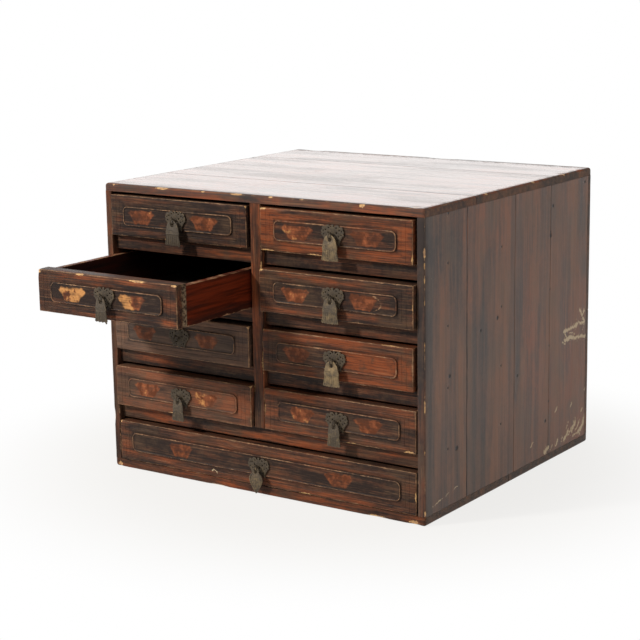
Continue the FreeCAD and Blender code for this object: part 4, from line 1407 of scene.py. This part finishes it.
class CHEST_OT_drawer_boxes(bpy.types.Operator):
    """Sides, backs and bottoms of the drawers"""

    bl_idname = "chest.drawer_boxes"
    bl_label = "Drawer Boxes"

    def execute(self, context):
        for seed, drawer in enumerate(DRAWERS, 200):
            front_low, front_high = node_range(drawer + "_front")
            middle_x = (front_low[0] + front_high[0]) / 2
            for node in sorted(frame["nodes"]):
                label = node.removeprefix(drawer + "_")
                if label not in ("walls", "left_side", "right_side", "back", "bottom"):
                    continue
                parts = []
                for index, (low, high) in enumerate(solid_ranges(node)):
                    size = high - low
                    along = 0 if size[0] > size[1] or label == "bottom" else 1
                    soft = 0.2 if label == "bottom" else 0.8
                    step = (10.0, 4.0, 3.0) if along else (6.0, 6.0, 4.0)
                    part = board(low, high, (0.5, 0.3, 0.4), (0.5, 0.3, soft), step, along, seed * 10 + index,
                                 band=1.6)
                    inwards = middle_x - (low[0] + high[0]) / 2
                    facing = -part["out"][:, 1] if abs(inwards) < 5 else part["out"][:, 0] * np.sign(inwards)
                    part["marks"]["inside"] = (facing > 0.6) * 1.0
                    parts.append(part)
                if label == "bottom":
                    low, high = node_range(node)
                    parts = [board(low, high, (0.2,) * 3, (0.2,) * 3, (8.0, 8.0, 4.0), 1, seed * 10)]
                piece = make_piece(node + "_wood", parts)
                wear_boards(piece, inner_wood() if label == "bottom" else drawer_wood(), seed, 0.6)
                stands_for(piece, node)
        return {"FINISHED"}


def pull_middle(drawer):
    """Middle of a pull's eye in millimetres."""
    low, high = node_range(drawer + "_pull_mount")
    front = node_range(drawer + "_front")[0][1] + PANEL_RISE
    wire = solid_ranges(drawer + "_pull_mount")[1]
    return (low[0] + high[0]) / 2, front - EYE_DISTANCE, (wire[0][2] + wire[1][2]) / 2


def metal_mesh(name, outline, holes, paths, balls=()):
    """Mesh that the metal tree reads: outline, hole points, wire paths and ball points.

    The outline and holes lie in a flat of their own, in millimetres from the middle of the
    plate. Paths and balls are at their places on the chest."""
    points, edges, marks = [], [], {"hole": [], "wire": [], "ball": []}

    def add(rows, hole=0.0, wire=0.0, ball=0.0):
        start = len(points)
        for row in rows:
            points.append([value * MM for value in row])
            for label, value in (("hole", hole), ("wire", wire), ("ball", ball)):
                marks[label].append(value * MM)
        return start

    start = add([(x, z, 0.0) for x, z in outline])
    edges += [(start + i, start + (i + 1) % len(outline)) for i in range(len(outline))]
    for x, z, radius in holes:
        add([(x, z, 0.0)], hole=radius)
    for radius, path in paths:
        start = add(path, wire=radius)
        edges += [(start + i, start + i + 1) for i in range(len(path) - 1)]
    for radius, place in balls:
        add([place], ball=radius)
    mesh = bpy.data.meshes.new(name)
    mesh.from_pydata(points, edges, [])
    for label, values in marks.items():
        mesh.attributes.new(label, "FLOAT", "POINT").data.foreach_set("value", np.array(values, np.float32))
    return new_object(name, mesh)


def arc(centre, radius, start, end, steps):
    """Points on a round path in a flat, from one angle to another in degrees."""
    turns = np.radians(np.linspace(start, end, steps))
    return [(centre[0] + radius * math.cos(t), centre[1] + radius * math.sin(t)) for t in turns]


def brass(drawer):
    """Aged brass of a drawer's pull, cleaner on some than on others."""
    colours = palette()
    clean = PULLS[drawer][1]
    return aged_metal(f"Aged Brass {clean:g}", colours.brass, colours.patina, clean * 0.4, 0.5)


class CHEST_OT_pull_mounts(bpy.types.Operator):
    """Pierced back plates and the split pins that the pendants hang on"""

    bl_idname = "chest.pull_mounts"
    bl_label = "Pull Plates and Pins"

    def execute(self, context):
        shapes = context.scene.chest_shapes
        wire = shapes.wire / MM
        colours = palette()
        crusted = aged_metal("Crusted Brass", scaled(colours.brass, 0.55), scaled(colours.patina, 0.86), 0.14,
                             0.64)
        for drawer in DRAWERS:
            x, y, z = pull_middle(drawer)
            back = node_range(drawer + "_pull_mount")[1][1]
            front = y + EYE_DISTANCE - PANEL_RISE
            holes = [(side * hx, hz, radius) for hx, hz, radius in PLATE_HOLES for side in (-1, 1)]
            holes.append((0.0, 0.0, SHANK_HOLE))
            strands = []
            for side in (-1, 1):
                inner = back - wire
                loop = arc((y, 0.0), EYE_RADIUS, 12, 180, 14)
                path = [(x, py, z + side * pz) for py, pz in reversed(loop)]
                path += [(x, y + EYE_RADIUS + 1.2, z + side * 0.52), (x, inner - 2.0, z + side * 0.52)]
                path += [(x, inner - 0.5, z + side * 1.0), (x, inner, z + side * 2.2),
                         (x, inner, z + side * 9.0)]
                strands.append((wire * 0.97, path))
            piece = metal_mesh(drawer + "_plate_and_pin", mirrored(PLATE_HALF), holes, strands)
            run_tree(piece, cut_metal(), 35, PLATE_BEVEL, **{
                "Thickness": shapes.metal, "Place": (x * MM, front * MM, z * MM), "Wire Sides": 12,
                "Material": crusted})
            stands_for(piece, drawer + "_pull_mount")
        return {"FINISHED"}


def foot_teeth(half, count, depth, lift):
    """Toothed lower edge between a pendant's two lower corners, from right to left."""
    edge = []
    width, level = half[-1]
    for index in range(count):
        share = 1 - 2 * index / count
        following = 1 - 2 * (index + 1) / count
        for place, drop in (((share + following) / 2, depth), (following, 0.0)):
            edge.append((width * place, level - drop - lift * (1 - place * place)))
    return edge[:-1]


def pendant_ridges(kind, half, x, front, z):
    """Raised lines on a pendant's face, as a radius and a path."""
    if kind == "spade":
        rims = [(0.5, [(x + side * px * 0.83, front, z + pz * 0.9 - 0.6) for px, pz in half[6:]])
                for side in (-1, 1)]
        return [*rims, (0.45, [(x, front, z - 6.0), (x, front, z - 17.5)])]
    top, bottom, waist, foot_half = -10.6, half[-1][1] + 0.6, half[9][0], half[-1][0]
    ends = (waist, top), (foot_half, bottom)
    flutes = [(0.36, [(x + share * across, front, z + up) for across, up in ends]) for share in FLUTES]
    band = [(x - waist + 0.8, front, z - 9.6), (x + waist - 0.8, front, z - 9.6)]
    bow = [(x + share * (waist - 1.2), front, z - 6.8 + 1.6 * (1 - share * share))
           for share in np.linspace(-1, 1, 9)]
    return [*flutes, (0.5, band), (0.4, bow)]


class CHEST_OT_pendants(bpy.types.Operator):
    """Hanging metal pendants with flutes and toothed or pointed feet"""

    bl_idname = "chest.pendants"
    bl_label = "Pendants"

    def execute(self, context):
        shapes = context.scene.chest_shapes
        thick = shapes.metal / MM
        for drawer, (kind, _, curl) in PULLS.items():
            if not kind:
                continue
            x, y, z = pull_middle(drawer)
            z -= HANGING_DROP
            half = PENDANTS[kind]
            foot = foot_teeth(half, *TEETH[kind]) if kind in TEETH else []
            outline = mirrored(half)
            outline[len(half):len(half)] = foot
            front = y - thick / 2
            ridges = pendant_ridges(kind, half, x, front, z)
            balls = []
            if curl:
                base = (x + half[-1][0] - 1.4, z + half[-1][1] - 0.2)
                balls.append((0.95, (base[0], y, base[1] - 1.3)))
            piece = metal_mesh(drawer + "_brass_pendant", outline, [(0.0, 0.0, HANGING_HOLE)], ridges, balls)
            run_tree(piece, cut_metal(), 35, PENDANT_BEVEL, **{
                "Thickness": shapes.metal, "Place": (x * MM, (y + thick / 2) * MM, z * MM), "Wire Sides": 8,
                "Material": brass(drawer)})
            stands_for(piece, drawer + "_pendant")
        return {"FINISHED"}


def nail_places():
    """Where each nail's head is, and the direction that it faces."""
    places = []
    case_high = np.array(CAD_BOX[1]) / MM
    for low, high in solid_ranges("case_nails"):
        axis = int(np.argmax(high - low))
        middle = (low + high) / 2
        out = np.zeros(3)
        out[axis] = 1.0 if abs(high[axis] - case_high[axis]) < 1.0 else -1.0
        middle[axis] = high[axis] if out[axis] > 0 else low[axis]
        places.append((tuple(middle), tuple(out)))
    return places


class CHEST_OT_nails(bpy.types.Operator):
    """Iron nails through the boards of the case"""

    bl_idname = "chest.nails"
    bl_label = "Nails"

    def execute(self, context):
        colours = palette()
        places = nail_places()
        mesh = bpy.data.meshes.new("case_nails_iron")
        mesh.from_pydata([[(p - o * NAIL_SUNK) * MM for p, o in zip(place, out)] for place, out in places],
                         [], [])
        turns = [Vector(out).to_track_quat("Z", "Y").to_euler()[:] for _, out in places]
        attribute = mesh.attributes.new("turn", "FLOAT_VECTOR", "POINT")
        attribute.data.foreach_set("vector", np.array(turns, np.float32).ravel())
        piece = new_object("case_nails_iron", mesh)
        iron = aged_metal("Lacquered Iron", colours.iron, colours.dark, 0.1, 0.55)
        run_tree(piece, driven_nails(), 40, Material=iron)
        stands_for(piece, "case_nails")
        return {"FINISHED"}


class CHEST_PT_sidebar(bpy.types.Panel):
    """Lists the chest's pieces"""

    bl_idname = "CHEST_PT_sidebar"
    bl_label = "Tabletop Chest"
    bl_space_type = "VIEW_3D"
    bl_region_type = "UI"
    bl_category = "Chest"

    def draw(self, context):
        for operator in OPERATORS:
            self.layout.operator(operator.bl_idname)
        for settings in SETTINGS:
            group = getattr(context.scene, settings)
            box = self.layout.box()
            for label in group.bl_rna.properties.keys():
                if label not in ("rna_type", "name"):
                    box.prop(group, label)


OPERATORS = (
    CHEST_OT_stage, CHEST_OT_case_boards, CHEST_OT_rails, CHEST_OT_drawer_fronts, CHEST_OT_drawer_boxes,
    CHEST_OT_pull_mounts, CHEST_OT_pendants, CHEST_OT_nails,
)
SETTINGS = {"chest_colours": ChestColours, "chest_shapes": ChestShapes, "chest_stage": ChestStage}


def register():
    """Makes the settings, operators and panel known."""
    for kind in (*SETTINGS.values(), *OPERATORS, CHEST_PT_sidebar):
        bpy.utils.register_class(kind)
    for label, kind in SETTINGS.items():
        setattr(bpy.types.Scene, label, bpy.props.PointerProperty(type=kind))


def unregister():
    """Takes them away again."""
    for label in SETTINGS:
        delattr(bpy.types.Scene, label)
    for kind in (CHEST_PT_sidebar, *reversed(OPERATORS), *SETTINGS.values()):
        bpy.utils.unregister_class(kind)


def main():
    """Builds the whole chest and its stage."""
    register()
    bpy.context.scene.view_settings.view_transform = "Standard"
    for operator in OPERATORS:
        family, label = operator.bl_idname.split(".")
        getattr(getattr(bpy.ops, family), label)()


if __name__ == "__main__":
    main()
